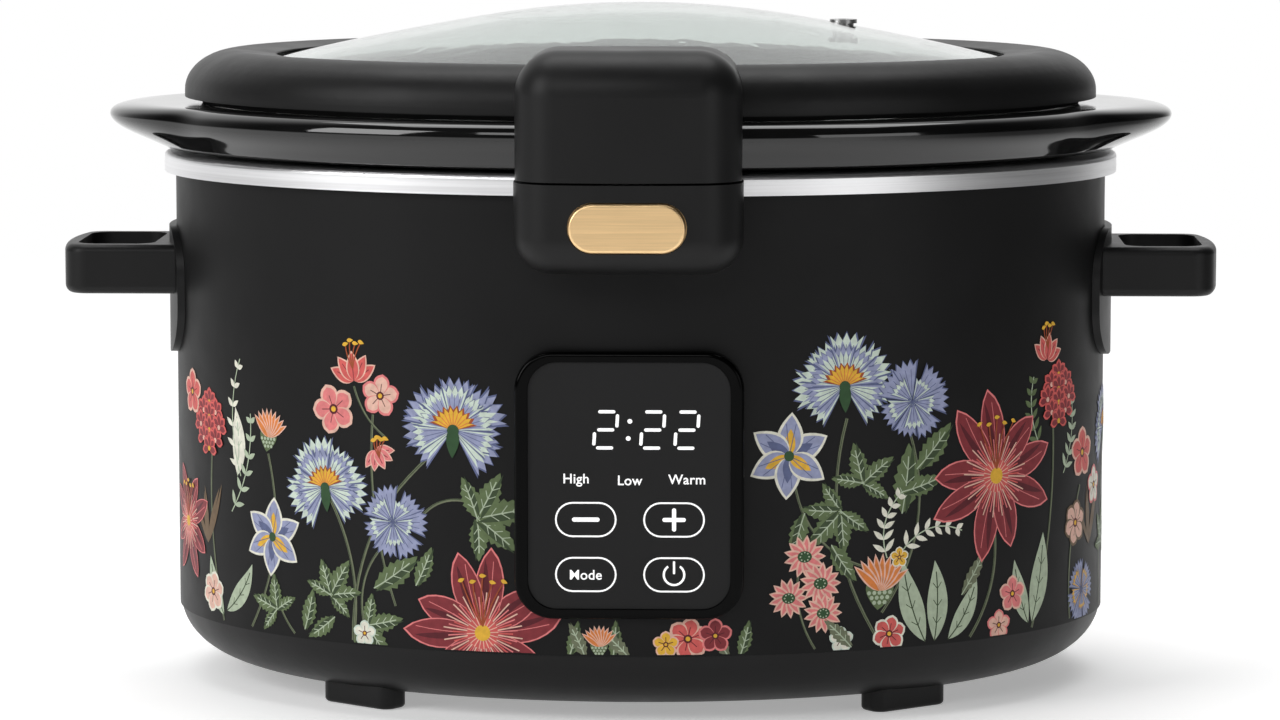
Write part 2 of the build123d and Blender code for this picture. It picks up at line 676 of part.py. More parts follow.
def latch_block():
    """Upper block, fixed to the lid: carries the striker and laps over the lid frame."""
    low = BLOCK_SEAM + BLOCK_SEAM_GAP / 2
    body = Pos(0, 0, low) * extrude(block_outline(UPPER_BLOCK_WIDTH), amount=UPPER_BLOCK_TOP - low)
    body = fillet(body.faces().sort_by(Axis.Z)[-1].edges(), UPPER_BLOCK_EDGE)
    body -= lid_envelope(0.1)
    body -= oval_disc(CROCK_RIM_HALF_DEPTH + 1.4, low - 5, LID_LOW + 0.3)
    pocket = block((-29, 29), (-(FRONT_FACE - 4.4), -144.6), (low - 1, STRIKER_FOOT_Z))
    body -= fillet(pocket.edges().filter_by(Axis.Z), 6.0)
    for x in STRIKER_SCREWS_X:
        body -= rod((x, STRIKER_SCREW_Y, 220), (x, STRIKER_SCREW_Y, 236), SCREW_RADIUS - 0.2)
    return body


def striker():
    """Bent steel striker with a window for the catch."""
    half = STRIKER_WIDTH / 2
    back = STRIKER_FRONT - STRIKER_SHEET
    tongue = block((-half, half), (-STRIKER_FRONT, -back), (STRIKER_LOW, STRIKER_FOOT_Z - 0.2))
    window = block((-5.6, 5.6), (-160, -140), (189.8, 196.2))
    foot_plate = block((-half, half), (-159.0, -back), (STRIKER_FOOT_Z - 2.2, STRIKER_FOOT_Z - 0.2))
    piece = tongue - window + foot_plate
    for x in STRIKER_SCREWS_X:
        piece -= rod((x, STRIKER_SCREW_Y, 220), (x, STRIKER_SCREW_Y, 230), SCREW_RADIUS + FIT)
    return piece


def striker_screws():
    seat = STRIKER_FOOT_Z - 2.4
    y = STRIKER_SCREW_Y
    return [screw((x, y, 235), (x, y, seat), SCREW_RADIUS - 0.25, 2.6) for x in STRIKER_SCREWS_X]


# ---- Crock -------------------------------------------------------------------------------
def crock_lug():
    """Grip at the crock's end, sloping up from under the rim."""
    half = CROCK_LUG_HALF_DEPTH
    tip = CROCK_LUG_REACH
    outline = Spline(
        (150, -half - 18), (tip - 18, -half - 2), (tip - 3.4, -half + 18), (tip, 0),
        (tip - 3.4, half - 18), (tip - 18, half + 2), (150, half + 18),
    )
    plan = make_face(outline + Line((150, half + 18), (150, -half - 18)))
    low, top = CROCK_COLLAR_LOW + 0.8, CROCK_RIM_TOP
    side = make_face(Plane.XZ * (
        Polyline((150, low), (tip - 20, low), (tip - 12, low + 3), (tip - 4.8, low + 6.5))
        + ThreePointArc((tip - 4.8, low + 6.5), (tip, low + 11.6), (tip - 4.4, top))
        + Polyline((tip - 4.4, top), (150, top), (150, low))
    ))
    column = Pos(0, 0, low - 5) * extrude(plan, amount=top - low + 10)
    return extrude(side, amount=80, both=True) & column


def crock_cavity():
    floor = CROCK_FLOOR + CROCK_BOTTOM_THICKNESS
    return oval(
        (0, floor),
        (92, floor),
        ((100.4, floor + 3.4), (103.4, floor + 11)),
        (112.6, 208),
        ((115.0, 215.8), (121.5, CROCK_RIM_TOP + 0.6)),
        (0, CROCK_RIM_TOP + 0.6),
    )


def crock():
    rim, collar, low = CROCK_RIM_HALF_DEPTH, CROCK_COLLAR_HALF_DEPTH, CROCK_COLLAR_LOW
    outside = oval(
        (0, CROCK_FLOOR),
        (99, CROCK_FLOOR),
        ((107.4, CROCK_FLOOR + 3.6), (110.6, CROCK_FLOOR + 12)),
        (119.7, low - 4.7),
        ((120.9, low - 1.2), (124.0, low)),
        (collar - 2.4, low),
        ((collar - 0.7, low + 0.7), (collar, low + 2.4)),
        ((rim - 1.5, low + 7.8), (rim - 0.2, low + 13.2)),
        ((rim - 1.0, low + 16.3), (rim - 4.4, CROCK_RIM_TOP)),
        (0, CROCK_RIM_TOP),
    )
    lugs = mirrored_pair(crock_lug())
    return outside + lugs[0] + lugs[1] - crock_cavity()


# ---- Lid ---------------------------------------------------------------------------------
def lid_envelope(clearance=0.0):
    """Solid form of the closed lid's frame."""
    arc = (LID_OUTER_ARC[0] + clearance, LID_OUTER_ARC[1] + clearance)
    return oval(
        (0, LID_LOW - 0.2),
        (LID_HALF_DEPTH + clearance, LID_LOW - 0.2),
        (LID_HALF_DEPTH + clearance, LID_SHOULDER),
        (arc, (LID_CREST_HALF_DEPTH, LID_CREST + clearance)),
        (LID_OPENING_HALF_DEPTH - 5, LID_CREST - 1.6 + clearance),
        (0, LID_CREST - 1.6 + clearance),
    )


def ring_screw_spots():
    """Places round the lid frame for the screws of the under ring."""
    spots = PolarLocations(1, RING_SCREW_COUNT, start_angle=22.5)
    reach = RING_SCREW_HALF_DEPTH
    return [(place.position.X * reach * STRETCH, place.position.Y * reach) for place in spots]


def lid_frame():
    sheet = LID_SHEET
    lip = LID_CREST - 2.6
    frame = oval(
        (LID_HALF_DEPTH - sheet, LID_LOW),
        (LID_HALF_DEPTH, LID_LOW),
        (LID_HALF_DEPTH, LID_SHOULDER),
        (LID_OUTER_ARC, (LID_CREST_HALF_DEPTH, LID_CREST)),
        (LID_OPENING_HALF_DEPTH + 0.6, LID_CREST - 1.5),
        ((LID_OPENING_HALF_DEPTH, LID_CREST - 2.0), (LID_OPENING_HALF_DEPTH + 0.3, lip)),
        (LID_CREST_HALF_DEPTH - 1, lip),
        ((LID_OUTER_ARC[0] - 1.7, LID_OUTER_ARC[1] - 2.2), (LID_HALF_DEPTH - sheet, LID_SHOULDER)),
    )
    for x, y in ring_screw_spots():
        frame += rod((x, y, UNDER_RING_TOP + 0.6), (x, y, LID_CREST - 2.2), SCREW_HEAD_RADIUS + 0.4)
        frame -= rod((x, y, UNDER_RING_LOW), (x, y, UNDER_RING_TOP + 5.6), SCREW_RADIUS - 0.25)
    for x in ARM_SCREWS_X:
        frame -= rod((x, ARM_SCREW_Y, UNDER_RING_LOW), (x, ARM_SCREW_Y, ARM_TOP), SCREW_RADIUS - 0.15)
    return frame


def glass_shell(rise):
    """Upper outline of the domed glass, shifted in height."""
    crest = GLASS_TOP + rise
    shoulder = (GLASS_SHOULDER, crest - 5.0)
    top = ThreePointArc((0, crest), (GLASS_SHOULDER / 2 + 0.1, crest - 1.26), shoulder)
    side = TangentArc(shoulder, (GLASS_EDGE_HALF_DEPTH, crest - GLASS_RISE), tangent=top % 1)
    return top, side


def lid_glass():
    top, side = glass_shell(0)
    low_top, low_side = glass_shell(-GLASS_THICKNESS)
    edges = [top, side, Line(side @ 1, low_side @ 1), low_side, low_top, Line(low_top @ 0, top @ 0)]
    round_glass = revolve(make_face([Plane.XZ * edge for edge in edges]), Axis.Z, 360)
    glass = scale(round_glass, by=(STRETCH, 1, 1))
    return glass - rod((VENT_X, VENT_Y, LID_CREST), (VENT_X, VENT_Y, GLASS_TOP + 1), VENT_NECK + 0.2)


def glass_seal():
    """Channel-section silicone seal round the edge of the glass."""
    edge = GLASS_EDGE_HALF_DEPTH
    low = GLASS_TOP - GLASS_RISE - GLASS_THICKNESS
    channel = oval(
        (LID_OPENING_HALF_DEPTH + 0.5, low - 0.6),
        (edge + 1.6, low - 0.6),
        (edge + 1.6, LID_CREST - 2.8),
        (LID_OPENING_HALF_DEPTH + 0.5, LID_CREST - 2.8),
    )
    groove = oval(
        (0, low + 2.4),
        (100, low + 2.4),
        (LID_OPENING_HALF_DEPTH - 2, low + 1.9),
        (edge + 0.15, low - 0.12),
        (edge + 0.15, low + GLASS_THICKNESS + 0.12),
        (LID_OPENING_HALF_DEPTH - 2, low + GLASS_THICKNESS + 3.1),
        (0, low + GLASS_THICKNESS + 3.1),
    )
    return channel - groove


def lid_under_ring():
    outer = LID_HALF_DEPTH - LID_SHEET - 2.4
    inner = LID_OPENING_HALF_DEPTH + 1
    low, top = UNDER_RING_LOW, UNDER_RING_TOP
    ring = oval_disc(outer, low, top) - oval_disc(inner, low - 1, top + 1)
    for x, y in ring_screw_spots():
        ring += rod((x, y, top - 0.4), (x, y, top + 0.5), SCREW_HEAD_RADIUS + 0.2)
        ring -= rod((x, y, low - 3), (x, y, top + 5), SCREW_RADIUS + FIT)
    return ring


def ring_screws():
    tip, seat = UNDER_RING_TOP + 5, UNDER_RING_LOW - 0.1
    return [screw((x, y, tip), (x, y, seat), SCREW_RADIUS - 0.3, 2.8) for x, y in ring_screw_spots()]


def rim_gasket():
    """Silicone gasket that meets the crock's rim."""
    half = LID_HALF_DEPTH - LID_SHEET - 1.4
    gasket = oval(
        (half - 3.4, GASKET_LOW),
        (half - 1.0, GASKET_LOW),
        (half, GASKET_LOW + 1.6),
        (half, UNDER_RING_LOW - 0.2),
        (half - 2.6, UNDER_RING_LOW - 0.2),
        (half - 2.6, GASKET_LOW + 2.8),
    )
    return gasket


def vent_grommet():
    """Steam vent pushed through the glass."""
    top = GLASS_TOP - 7.6
    collar = rod((VENT_X, VENT_Y, top - 0.6), (VENT_X, VENT_Y, top + VENT_PROUD), VENT_RADIUS)
    neck = rod((VENT_X, VENT_Y, top - 7.5), (VENT_X, VENT_Y, top), VENT_NECK)
    lower = rod((VENT_X, VENT_Y, top - 8.6), (VENT_X, VENT_Y, top - 6.2), VENT_RADIUS + 0.4)
    bore = rod((VENT_X, VENT_Y, top - 12), (VENT_X, VENT_Y, top + 6), VENT_BORE)
    return collar + neck + lower - bore - lid_glass()


# ---- Hinge -------------------------------------------------------------------------------
def knuckle(x_low, x_high, radius=KNUCKLE_RADIUS):
    return rod((x_low, HINGE_Y, HINGE_Z), (x_high, HINGE_Y, HINGE_Z), radius)


def tongue_box(gap=0.0, low=TONGUE_LOW, top=HINGE_Z - 3):
    half = TONGUE_HALF_WIDTH + gap
    middle = HINGE_Y - 3.2
    reach = TONGUE_THICKNESS / 2 + gap
    return block((-half, half), (middle - reach, middle + reach), (low, top))


def hinge_bracket():
    barrel = knuckle(-BRACKET_HALF_WIDTH, BRACKET_HALF_WIDTH)
    tongue = tongue_box(top=SOCKET_TOP + 3)
    neck = block((-BRACKET_HALF_WIDTH, BRACKET_HALF_WIDTH), (148.2, 153.8), (SOCKET_TOP + 1, HINGE_Z))
    return barrel + tongue + neck - knuckle(-30, 30, HINGE_PIN_RADIUS)


def hinge_pin():
    return knuckle(-HINGE_HALF_WIDTH + 1, HINGE_HALF_WIDTH - 1, HINGE_PIN_RADIUS)


def hinge_socket():
    """Block on the rear wall that the hinge bracket drops into."""
    half = HINGE_HALF_WIDTH + 6
    body = block((-half, half), (100, SOCKET_BACK), (SOCKET_LOW, SOCKET_TOP))
    back_edges = body.faces().sort_by(Axis.Y)[-1].edges()
    body = fillet(back_edges, 6.0) - wall_solid()
    body -= tongue_box(TONGUE_GAP, low=TONGUE_LOW - 1, top=SOCKET_TOP + 1)
    for x in SOCKET_SCREWS_X:
        body -= rod((x, 120, SOCKET_SCREW_Z), (x, 144, SOCKET_SCREW_Z), SCREW_RADIUS - 0.2)
    return body


def hinge_socket_screws():
    seat = wall_half_depth(SOCKET_SCREWS_X[1]) - 1.2
    z = SOCKET_SCREW_Z
    return [screw((x, 143, z), (x, seat, z), SCREW_RADIUS - 0.25) for x in SOCKET_SCREWS_X]


def lid_hinge_arm():
    """Lid half of the hinge: two outer knuckles and a strap over the lid frame."""
    inner = BRACKET_HALF_WIDTH + KNUCKLE_GAP
    reach = CROCK_RIM_HALF_DEPTH + 1.6
    half, rear = HINGE_HALF_WIDTH, HINGE_Y + KNUCKLE_RADIUS
    arm = block((-half, half), (ARM_FRONT, rear), (HINGE_Z, ARM_TOP))
    arm = fillet(arm.edges().filter_by(Axis.X).group_by(Axis.Z)[-1].sort_by(Axis.Y)[-1], ARM_ROUND)
    arm -= lid_envelope(0.1)
    arm -= oval_disc(reach, HINGE_Z - 10, LID_LOW + 0.5)
    for side in (-1, 1):
        arm += knuckle(*sorted((side * inner, side * HINGE_HALF_WIDTH)))
    arm -= block((-inner, inner), (reach, 190), (HINGE_Z - 10, HINGE_Z + KNUCKLE_RADIUS + 1.5))
    arm -= knuckle(-40, 40, HINGE_PIN_RADIUS + HINGE_RUNNING_GAP)
    for x in ARM_SCREWS_X:
        above = (x, ARM_SCREW_Y, ARM_TOP + 1)
        arm -= rod((x, ARM_SCREW_Y, LID_LOW), above, SCREW_RADIUS + FIT)
        arm -= rod((x, ARM_SCREW_Y, ARM_SCREW_SEAT - 0.1), above, SCREW_HEAD_RADIUS + 0.4)
    return arm


def hinge_arm_screws():
    y, seat = ARM_SCREW_Y, ARM_SCREW_SEAT
    return [screw((x, y, seat - 8.4), (x, y, seat), SCREW_RADIUS - 0.2) for x in ARM_SCREWS_X]


# ---- Power inlet -------------------------------------------------------------------------
def cord_inlet():
    """Recessed two-pin socket for a detachable cord."""
    back = INLET_FACE - 21.6
    flange = front_slab(*INLET_FLANGE, (back, INLET_FACE), z=INLET_Z) - wall_solid()
    collar = front_slab(*INLET_COLLAR, (back, INLET_FACE - 2.6), z=INLET_Z)
    inlet = flange + collar - front_slab(*INLET_MOUTH, (back + 3, INLET_FACE + 1), z=INLET_Z)
    for x in INLET_PINS_X:
        inlet -= rod((x, back - 1, INLET_Z), (x, back + 4, INLET_Z), INLET_PIN_RADIUS + FIT)
    for x in INLET_SCREWS_X:
        inlet -= rod((x, back, INLET_Z), (x, INLET_FACE + 1, INLET_Z), SCREW_RADIUS + FIT)
    return inlet


def inlet_pins():
    pins = []
    for x in INLET_PINS_X:
        pin = rod((x, 111, INLET_Z), (x, INLET_FACE - 4.6, INLET_Z), INLET_PIN_RADIUS)
        pins.append(fillet(pin.faces().sort_by(Axis.Y)[-1].edges(), 1.0))
    return pins


def inlet_screws():
    seat, z = INLET_FACE + 0.1, INLET_Z
    return [screw((x, seat - 9.7, z), (x, seat, z), SCREW_RADIUS - 0.1, 2.6) for x in INLET_SCREWS_X]


def heater_leads():
    """Insulated leads from the terminal block to the inlet and the heater band."""
    leads = []
    for x, pin_x in ((18, -8), (24, 8)):
        corner_x = x + 66
        path = FilletPolyline(
            (x, -24.5, LEAD_LOW), (x, -46 + x / 2, LEAD_LOW), (corner_x, -46 + x / 2, LEAD_LOW),
            (corner_x, 84, LEAD_LOW), (pin_x, 106, 22), (pin_x, 109.5, INLET_Z - 1.4), radius=5,
        )
        leads.append(sweep(Plane(origin=path @ 0, z_dir=path % 0) * Circle(LEAD_RADIUS), path=path))
    return leads


# ---- Write every sub-part ----------------------------------------------------------------
os.makedirs("parts", exist_ok=True)

save("housing_wrap", housing_wrap())
save("base_pan", base_pan())
save("foot_front_left", foot(-FOOT_X, -FOOT_Y))
save("foot_front_right", foot(FOOT_X, -FOOT_Y))
save("foot_rear_left", foot(-FOOT_X, FOOT_Y))
save("foot_rear_right", foot(FOOT_X, FOOT_Y))
save("heating_well", heating_well())
save("rim_trim", rim_trim())
save("heater_band", heater_band())
save("insulation_sleeve", insulation_sleeve())
save("band_clamp_screw", band_clamp_screw())
save("tie_bracket", tie_bracket())
save("base_screws", *base_screws())
save("heat_shield", heat_shield())
save("power_board", power_board())
save("relay", relay())
save("filter_capacitor", filter_capacitor())
save("terminal_block", terminal_block())
save("thermal_fuse", thermal_fuse())
save("temperature_sensor", temperature_sensor())
save("heater_leads", *heater_leads())

save("control_bezel", control_bezel())
save("touch_lens", touch_lens())
save("control_board", control_board())
save("control_carrier", control_carrier())
save("display_module", display_module())
save("touch_springs", *touch_springs())
save("board_screws", *board_screws())
save("display_ribbon", display_ribbon())

save("right_handle", right_handle())
save("left_handle", mirror(right_handle(), about=Plane.YZ))
save("handle_screws", *handle_screws())

save("latch_housing", latch_housing())
save("latch_screws", *latch_screws())
save("catch_spring", catch_spring())
save("release_button", release_button())

save("hinge_socket", hinge_socket())
save("hinge_socket_screws", *hinge_socket_screws())
save("cord_inlet", cord_inlet())
save("inlet_pins", *inlet_pins())
save("inlet_screws", *inlet_screws())

save("crock", crock())

save("hinge_bracket", hinge_bracket())
save("hinge_pin", hinge_pin())

save("lid_frame", lid_frame())
save("lid_glass", lid_glass())
save("glass_seal", glass_seal())
save("lid_under_ring", lid_under_ring())
save("ring_screws", *ring_screws())
save("rim_gasket", rim_gasket())
save("vent_grommet", vent_grommet())
save("latch_block", latch_block())
save("striker", striker())
save("striker_screws", *striker_screws())
save("lid_hinge_arm", lid_hinge_arm())
save("hinge_arm_screws", *hinge_arm_screws())
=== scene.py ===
import json
import math

import bpy
import bmesh
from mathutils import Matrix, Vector


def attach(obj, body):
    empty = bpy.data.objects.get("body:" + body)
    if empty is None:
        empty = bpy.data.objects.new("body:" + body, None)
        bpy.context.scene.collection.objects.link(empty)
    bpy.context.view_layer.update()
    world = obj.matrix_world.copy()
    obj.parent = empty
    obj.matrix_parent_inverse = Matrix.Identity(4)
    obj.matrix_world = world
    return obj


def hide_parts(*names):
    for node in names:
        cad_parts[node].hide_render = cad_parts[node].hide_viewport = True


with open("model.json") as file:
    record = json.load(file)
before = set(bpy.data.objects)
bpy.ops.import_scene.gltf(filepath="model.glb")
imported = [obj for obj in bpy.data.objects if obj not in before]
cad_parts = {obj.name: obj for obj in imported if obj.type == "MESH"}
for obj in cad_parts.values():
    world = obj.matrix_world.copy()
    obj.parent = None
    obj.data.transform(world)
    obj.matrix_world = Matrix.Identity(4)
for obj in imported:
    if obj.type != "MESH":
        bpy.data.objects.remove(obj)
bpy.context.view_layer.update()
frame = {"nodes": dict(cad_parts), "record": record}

MM = 0.001
WALL_HALF_WIDTH = 178.3
WALL_HALF_DEPTH = 134.0
STRETCH = WALL_HALF_WIDTH / WALL_HALF_DEPTH      # every oval is a circle drawn out sideways by this much


# ---- Materials -----------------------------------------------------------------------------
BLOTCHES = 28          # noise scales count spots in a metre
GLOSS_PATCHES = 60
GLOSS_SPREAD = 0.035


class Graph:
    """A small wrapper that adds and links the nodes of one material."""

    def __init__(self, name):
        self.material = bpy.data.materials.new(name)
        self.material.use_nodes = True
        self.tree = self.material.node_tree
        self.shader = self.tree.nodes["Principled BSDF"]
        self.place = None

    def node(self, kind, **settings):
        made = self.tree.nodes.new("ShaderNode" + kind)
        for key, value in settings.items():
            setattr(made, key, value)
        return made

    def link(self, source, target):
        self.tree.links.new(source, target)

    def coords(self):
        if self.place is None:
            self.place = self.node("TexCoord").outputs["Object"]
        return self.place

    def stretched(self, scale):
        mapping = self.node("Mapping")
        mapping.inputs["Scale"].default_value = scale
        self.link(self.coords(), mapping.inputs["Vector"])
        return mapping.outputs["Vector"]

    def noise(self, scale, detail=2.0, roughness=0.5, stretch=None):
        texture = self.node("TexNoise")
        texture.inputs["Scale"].default_value = scale
        texture.inputs["Detail"].default_value = detail
        texture.inputs["Roughness"].default_value = roughness
        source = self.coords() if stretch is None else self.stretched(stretch)
        self.link(source, texture.inputs["Vector"])
        return texture.outputs["Fac"]

    def remap(self, source, low, high, from_low=0.3, from_high=0.7):
        mapped = self.node("MapRange")
        mapped.inputs["From Min"].default_value = from_low
        mapped.inputs["From Max"].default_value = from_high
        mapped.inputs["To Min"].default_value = low
        mapped.inputs["To Max"].default_value = high
        self.link(source, mapped.inputs["Value"])
        return mapped.outputs["Result"]

    def blend(self, factor, first, second):
        mix = self.node("Mix", data_type="RGBA")
        mix.inputs["A"].default_value = (*first, 1)
        mix.inputs["B"].default_value = (*second, 1)
        self.link(factor, mix.inputs["Factor"])
        return mix.outputs["Result"]

    def color(self, source, dark, light):
        """Tone between two colours over the middle of a noise."""
        self.link(self.blend(self.remap(source, 0, 1), dark, light), self.shader.inputs["Base Color"])

    def gloss(self, source, low, high):
        """Roughness between two values over the middle of a noise."""
        self.link(self.remap(source, low, high), self.shader.inputs["Roughness"])

    def bump(self, height, strength, distance):
        bump = self.node("Bump")
        bump.inputs["Strength"].default_value = strength
        bump.inputs["Distance"].default_value = distance
        self.link(height, bump.inputs["Height"])
        self.link(bump.outputs["Normal"], self.shader.inputs["Normal"])

    def set(self, **values):
        for key, value in values.items():
            self.shader.inputs[key.replace("_", " ")].default_value = value


def shade(value):
    """A neutral colour of this brightness."""
    return (value, value, value * 1.02)


def darkened(color, share):
    return tuple(channel * share for channel in color)


def moulded(name, dark, light, roughness, grain=2600, grain_depth=0.00005, specular=0.4):
    """Moulded or powder-coated surface: faint blotches in tone and gloss, and a fine even grain."""
    g = Graph(name)
    g.color(g.noise(BLOTCHES, detail=4), dark, light)
    g.gloss(g.noise(GLOSS_PATCHES, detail=5), roughness - GLOSS_SPREAD, roughness + GLOSS_SPREAD)
    g.bump(g.noise(grain, detail=2), 0.25, grain_depth)
    g.set(Specular_IOR_Level=specular)
    return g.material


def black_enamel():
    return moulded("black_enamel", shade(0.0048), shade(0.0062), 0.46, specular=0.17)


def black_plastic():
    return moulded("black_plastic", shade(0.0062), shade(0.0080), 0.42, specular=0.22)


def gloss_black():
    """The polished frame round the touch lens."""
    g = Graph("gloss_black")
    g.link(g.blend(g.noise(30), shade(0.0006), shade(0.0010)), g.shader.inputs["Base Color"])
    g.gloss(g.noise(90, detail=4), 0.12, 0.18)
    g.bump(g.noise(45), 0.04, 0.0002)
    g.set(Specular_IOR_Level=0.07)
    return g.material


def touch_panel():
    """Satin smoked lens over the display."""
    g = Graph("touch_panel")
    g.link(g.blend(g.noise(30), shade(0.0125), shade(0.0145)), g.shader.inputs["Base Color"])
    g.gloss(g.noise(120, detail=4), 0.40, 0.48)
    g.bump(g.noise(3000), 0.1, 0.00003)
    g.set(Specular_IOR_Level=0.16)
    return g.material


def brushed(name, color, roughness, stretch, depth=0.00004):
    """Brushed metal: fine streaks in tone, gloss and height, all along one direction."""
    g = Graph(name)
    streaks = g.noise(1.0, detail=5, roughness=0.7, stretch=stretch)
    g.color(streaks, darkened(color, 0.82), color)
    g.gloss(streaks, roughness - 0.07, roughness + 0.09)
    g.bump(streaks, 0.35, depth)
    g.set(Metallic=1.0)
    return g.material


def black_glaze():
    """Fired glaze: wet gloss over slow, shallow waves."""
    g = Graph("black_glaze")
    g.color(g.noise(22, detail=4), shade(0.0035), shade(0.0055))
    g.gloss(g.noise(70, detail=5), 0.05, 0.10)
    g.bump(g.noise(38, detail=3), 0.12, 0.0006)
    g.set(Coat_Weight=0.25, Coat_Roughness=0.04)
    return g.material


def clear_glass():
    g = Graph("clear_glass")
    g.gloss(g.noise(8), 0.0, 0.015)
    g.set(Base_Color=(0.86, 0.92, 0.89, 1), Transmission_Weight=1.0, IOR=1.5)
    g.bump(g.noise(9), 0.01, 0.0004)
    return g.material


def silicone():
    return moulded("silicone", shade(0.012), shade(0.018), 0.55, grain=900)


def mottled(name, dark, light, roughness, scale=90, metallic=0.0):
    """Two-tone spotted surface for the pieces inside."""
    g = Graph(name)
    spots = g.noise(scale, detail=5)
    g.color(spots, dark, light)
    g.gloss(spots, roughness - 0.08, roughness + 0.08)
    g.bump(g.noise(scale * 12), 0.3, 0.0001)
    g.set(Metallic=metallic)
    return g.material


MATERIALS = {
    "black_enamel": black_enamel(),
    "black_plastic": black_plastic(),
    "gloss_black": gloss_black(),
    "touch_panel": touch_panel(),
    "brushed_rim": brushed("brushed_rim", (0.95, 0.95, 0.96), 0.34, (4, 4, 700), depth=0.000005),
    "galvanised": mottled("galvanised", (0.42, 0.43, 0.44), (0.60, 0.61, 0.62), 0.42, metallic=1.0),
    "zinc_steel": brushed("zinc_steel", (0.62, 0.62, 0.63), 0.34, (900, 900, 60)),
    "black_glaze": black_glaze(),
    "clear_glass": clear_glass(),
    "gold_button": brushed("gold_button", (1.0, 0.70, 0.37), 0.36, (20, 900, 1400), depth=0.000015),
    "silicone": silicone(),
    "insulation": mottled("insulation", (0.62, 0.59, 0.50), (0.86, 0.84, 0.77), 0.95, scale=240),
    "mica_band": mottled("mica_band", (0.28, 0.22, 0.14), (0.50, 0.44, 0.34), 0.5),
    "board_green": mottled("board_green", (0.008, 0.07, 0.03), (0.015, 0.12, 0.05), 0.35),
    "component_grey": mottled("component_grey", (0.05, 0.05, 0.055), (0.09, 0.09, 0.1), 0.45),
    "terminal_white": mottled("terminal_white", (0.62, 0.60, 0.54), (0.76, 0.74, 0.68), 0.5),
    "copper_pin": brushed("copper_pin", (0.75, 0.52, 0.24), 0.28, (600, 40, 600)),
    "vent_metal": brushed("vent_metal", (0.5, 0.5, 0.5), 0.35, (500, 500, 500)),
    "display_amber": mottled("display_amber", shade(0.02), shade(0.03), 0.3),
}


def add_piece(name, points, faces, materials, smooth=False):
    """A mesh object from points in metres."""
    mesh = bpy.data.meshes.new(name)
    mesh.from_pydata(points, [], faces)
    for material in materials:
        mesh.materials.append(material)
    for face in mesh.polygons:
        face.use_smooth = smooth
    made = bpy.data.objects.new(name, mesh)
    bpy.context.scene.collection.objects.link(made)
    return made


# ---- Crock ---------------------------------------------------------------------------------
CROCK_SEGMENTS = 128
# Each row is (half depth, height) on the plain rim, then the same point where the lug reaches farthest.
CROCK_SECTION = [
    ((0.0, 49.8), (0.0, 49.8)),
    ((60.0, 49.8), (60.0, 49.8)),
    ((98.0, 49.8), (98.0, 49.8)),
    ((106.5, 52.6), (106.5, 52.6)),
    ((110.4, 61.0), (110.4, 61.0)),
    ((115.0, 130.0), (115.0, 130.0)),
    ((119.6, 197.0), (119.6, 197.0)),
    ((120.8, 201.0), (120.8, 201.0)),
    ((124.0, 202.4), (124.0, 202.4)),
    ((131.0, 202.4), (131.0, 202.4)),
    ((135.4, 202.5), (136.2, 202.6)),
    ((136.4, 204.0), (138.8, 204.1)),
    ((137.9, 207.0), (143.4, 206.6)),
    ((140.2, 210.4), (149.0, 209.6)),
    ((141.2, 213.6), (152.4, 212.6)),
    ((140.9, 216.6), (153.4, 215.6)),
    ((139.0, 219.0), (152.0, 218.4)),
    ((135.4, 219.9), (146.0, 219.8)),
    ((128.0, 219.5), (138.0, 219.6)),
    ((122.0, 219.5), (122.0, 219.5)),
    ((117.4, 217.4), (117.4, 217.4)),
    ((114.6, 213.0), (114.6, 213.0)),
    ((112.6, 207.0), (112.6, 207.0)),
    ((108.4, 140.0), (108.4, 140.0)),
    ((103.6, 69.0), (103.6, 69.0)),
    ((100.6, 61.2), (100.6, 61.2)),
    ((92.0, 58.0), (92.0, 58.0)),
    ((50.0, 58.0), (50.0, 58.0)),
    ((0.0, 58.0), (0.0, 58.0)),
]
LUG_HALF_DEPTH = 62.0
LUG_FLATNESS = 2.6


def lug_share(across):
    """How much of the lug there is at this distance from the long axis."""
    return max(0.0, 1 - (abs(across) / LUG_HALF_DEPTH) ** LUG_FLATNESS)


def add_crock():
    """Glazed pot turned about Z, with a rim that runs out smoothly into a grip at each end."""
    rings = []
    for step in range(CROCK_SEGMENTS):
        turn = 2 * math.pi * step / CROCK_SEGMENTS
        ring = []
        for (plain_r, plain_z), (lug_r, lug_z) in CROCK_SECTION:
            share = lug_share(plain_r * math.sin(turn))
            r = plain_r + (lug_r - plain_r) * share
            z = plain_z + (lug_z - plain_z) * share
            ring.append((r * STRETCH * math.cos(turn) * MM, r * math.sin(turn) * MM, z * MM))
        rings.append(ring)
    count = len(CROCK_SECTION)
    points = [point for ring in rings for point in ring]
    faces = []
    for step in range(CROCK_SEGMENTS):
        here = step * count
        after = (step + 1) % CROCK_SEGMENTS * count
        faces += [(here + n, after + n, after + n + 1, here + n + 1) for n in range(count - 1)]
    pot = add_piece("glazed_crock", points, faces, [MATERIALS["black_glaze"]], smooth=True)
    clean = bmesh.new()
    clean.from_mesh(pot.data)
    bmesh.ops.remove_doubles(clean, verts=clean.verts, dist=0.01 * MM)
    bmesh.ops.recalc_face_normals(clean, faces=clean.faces)
    clean.to_mesh(pot.data)
    clean.free()
    rounded = pot.modifiers.new("rounded", "SUBSURF")
    rounded.levels = 2
    rounded.render_levels = 2
    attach(pot, "crock")
    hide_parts("crock")


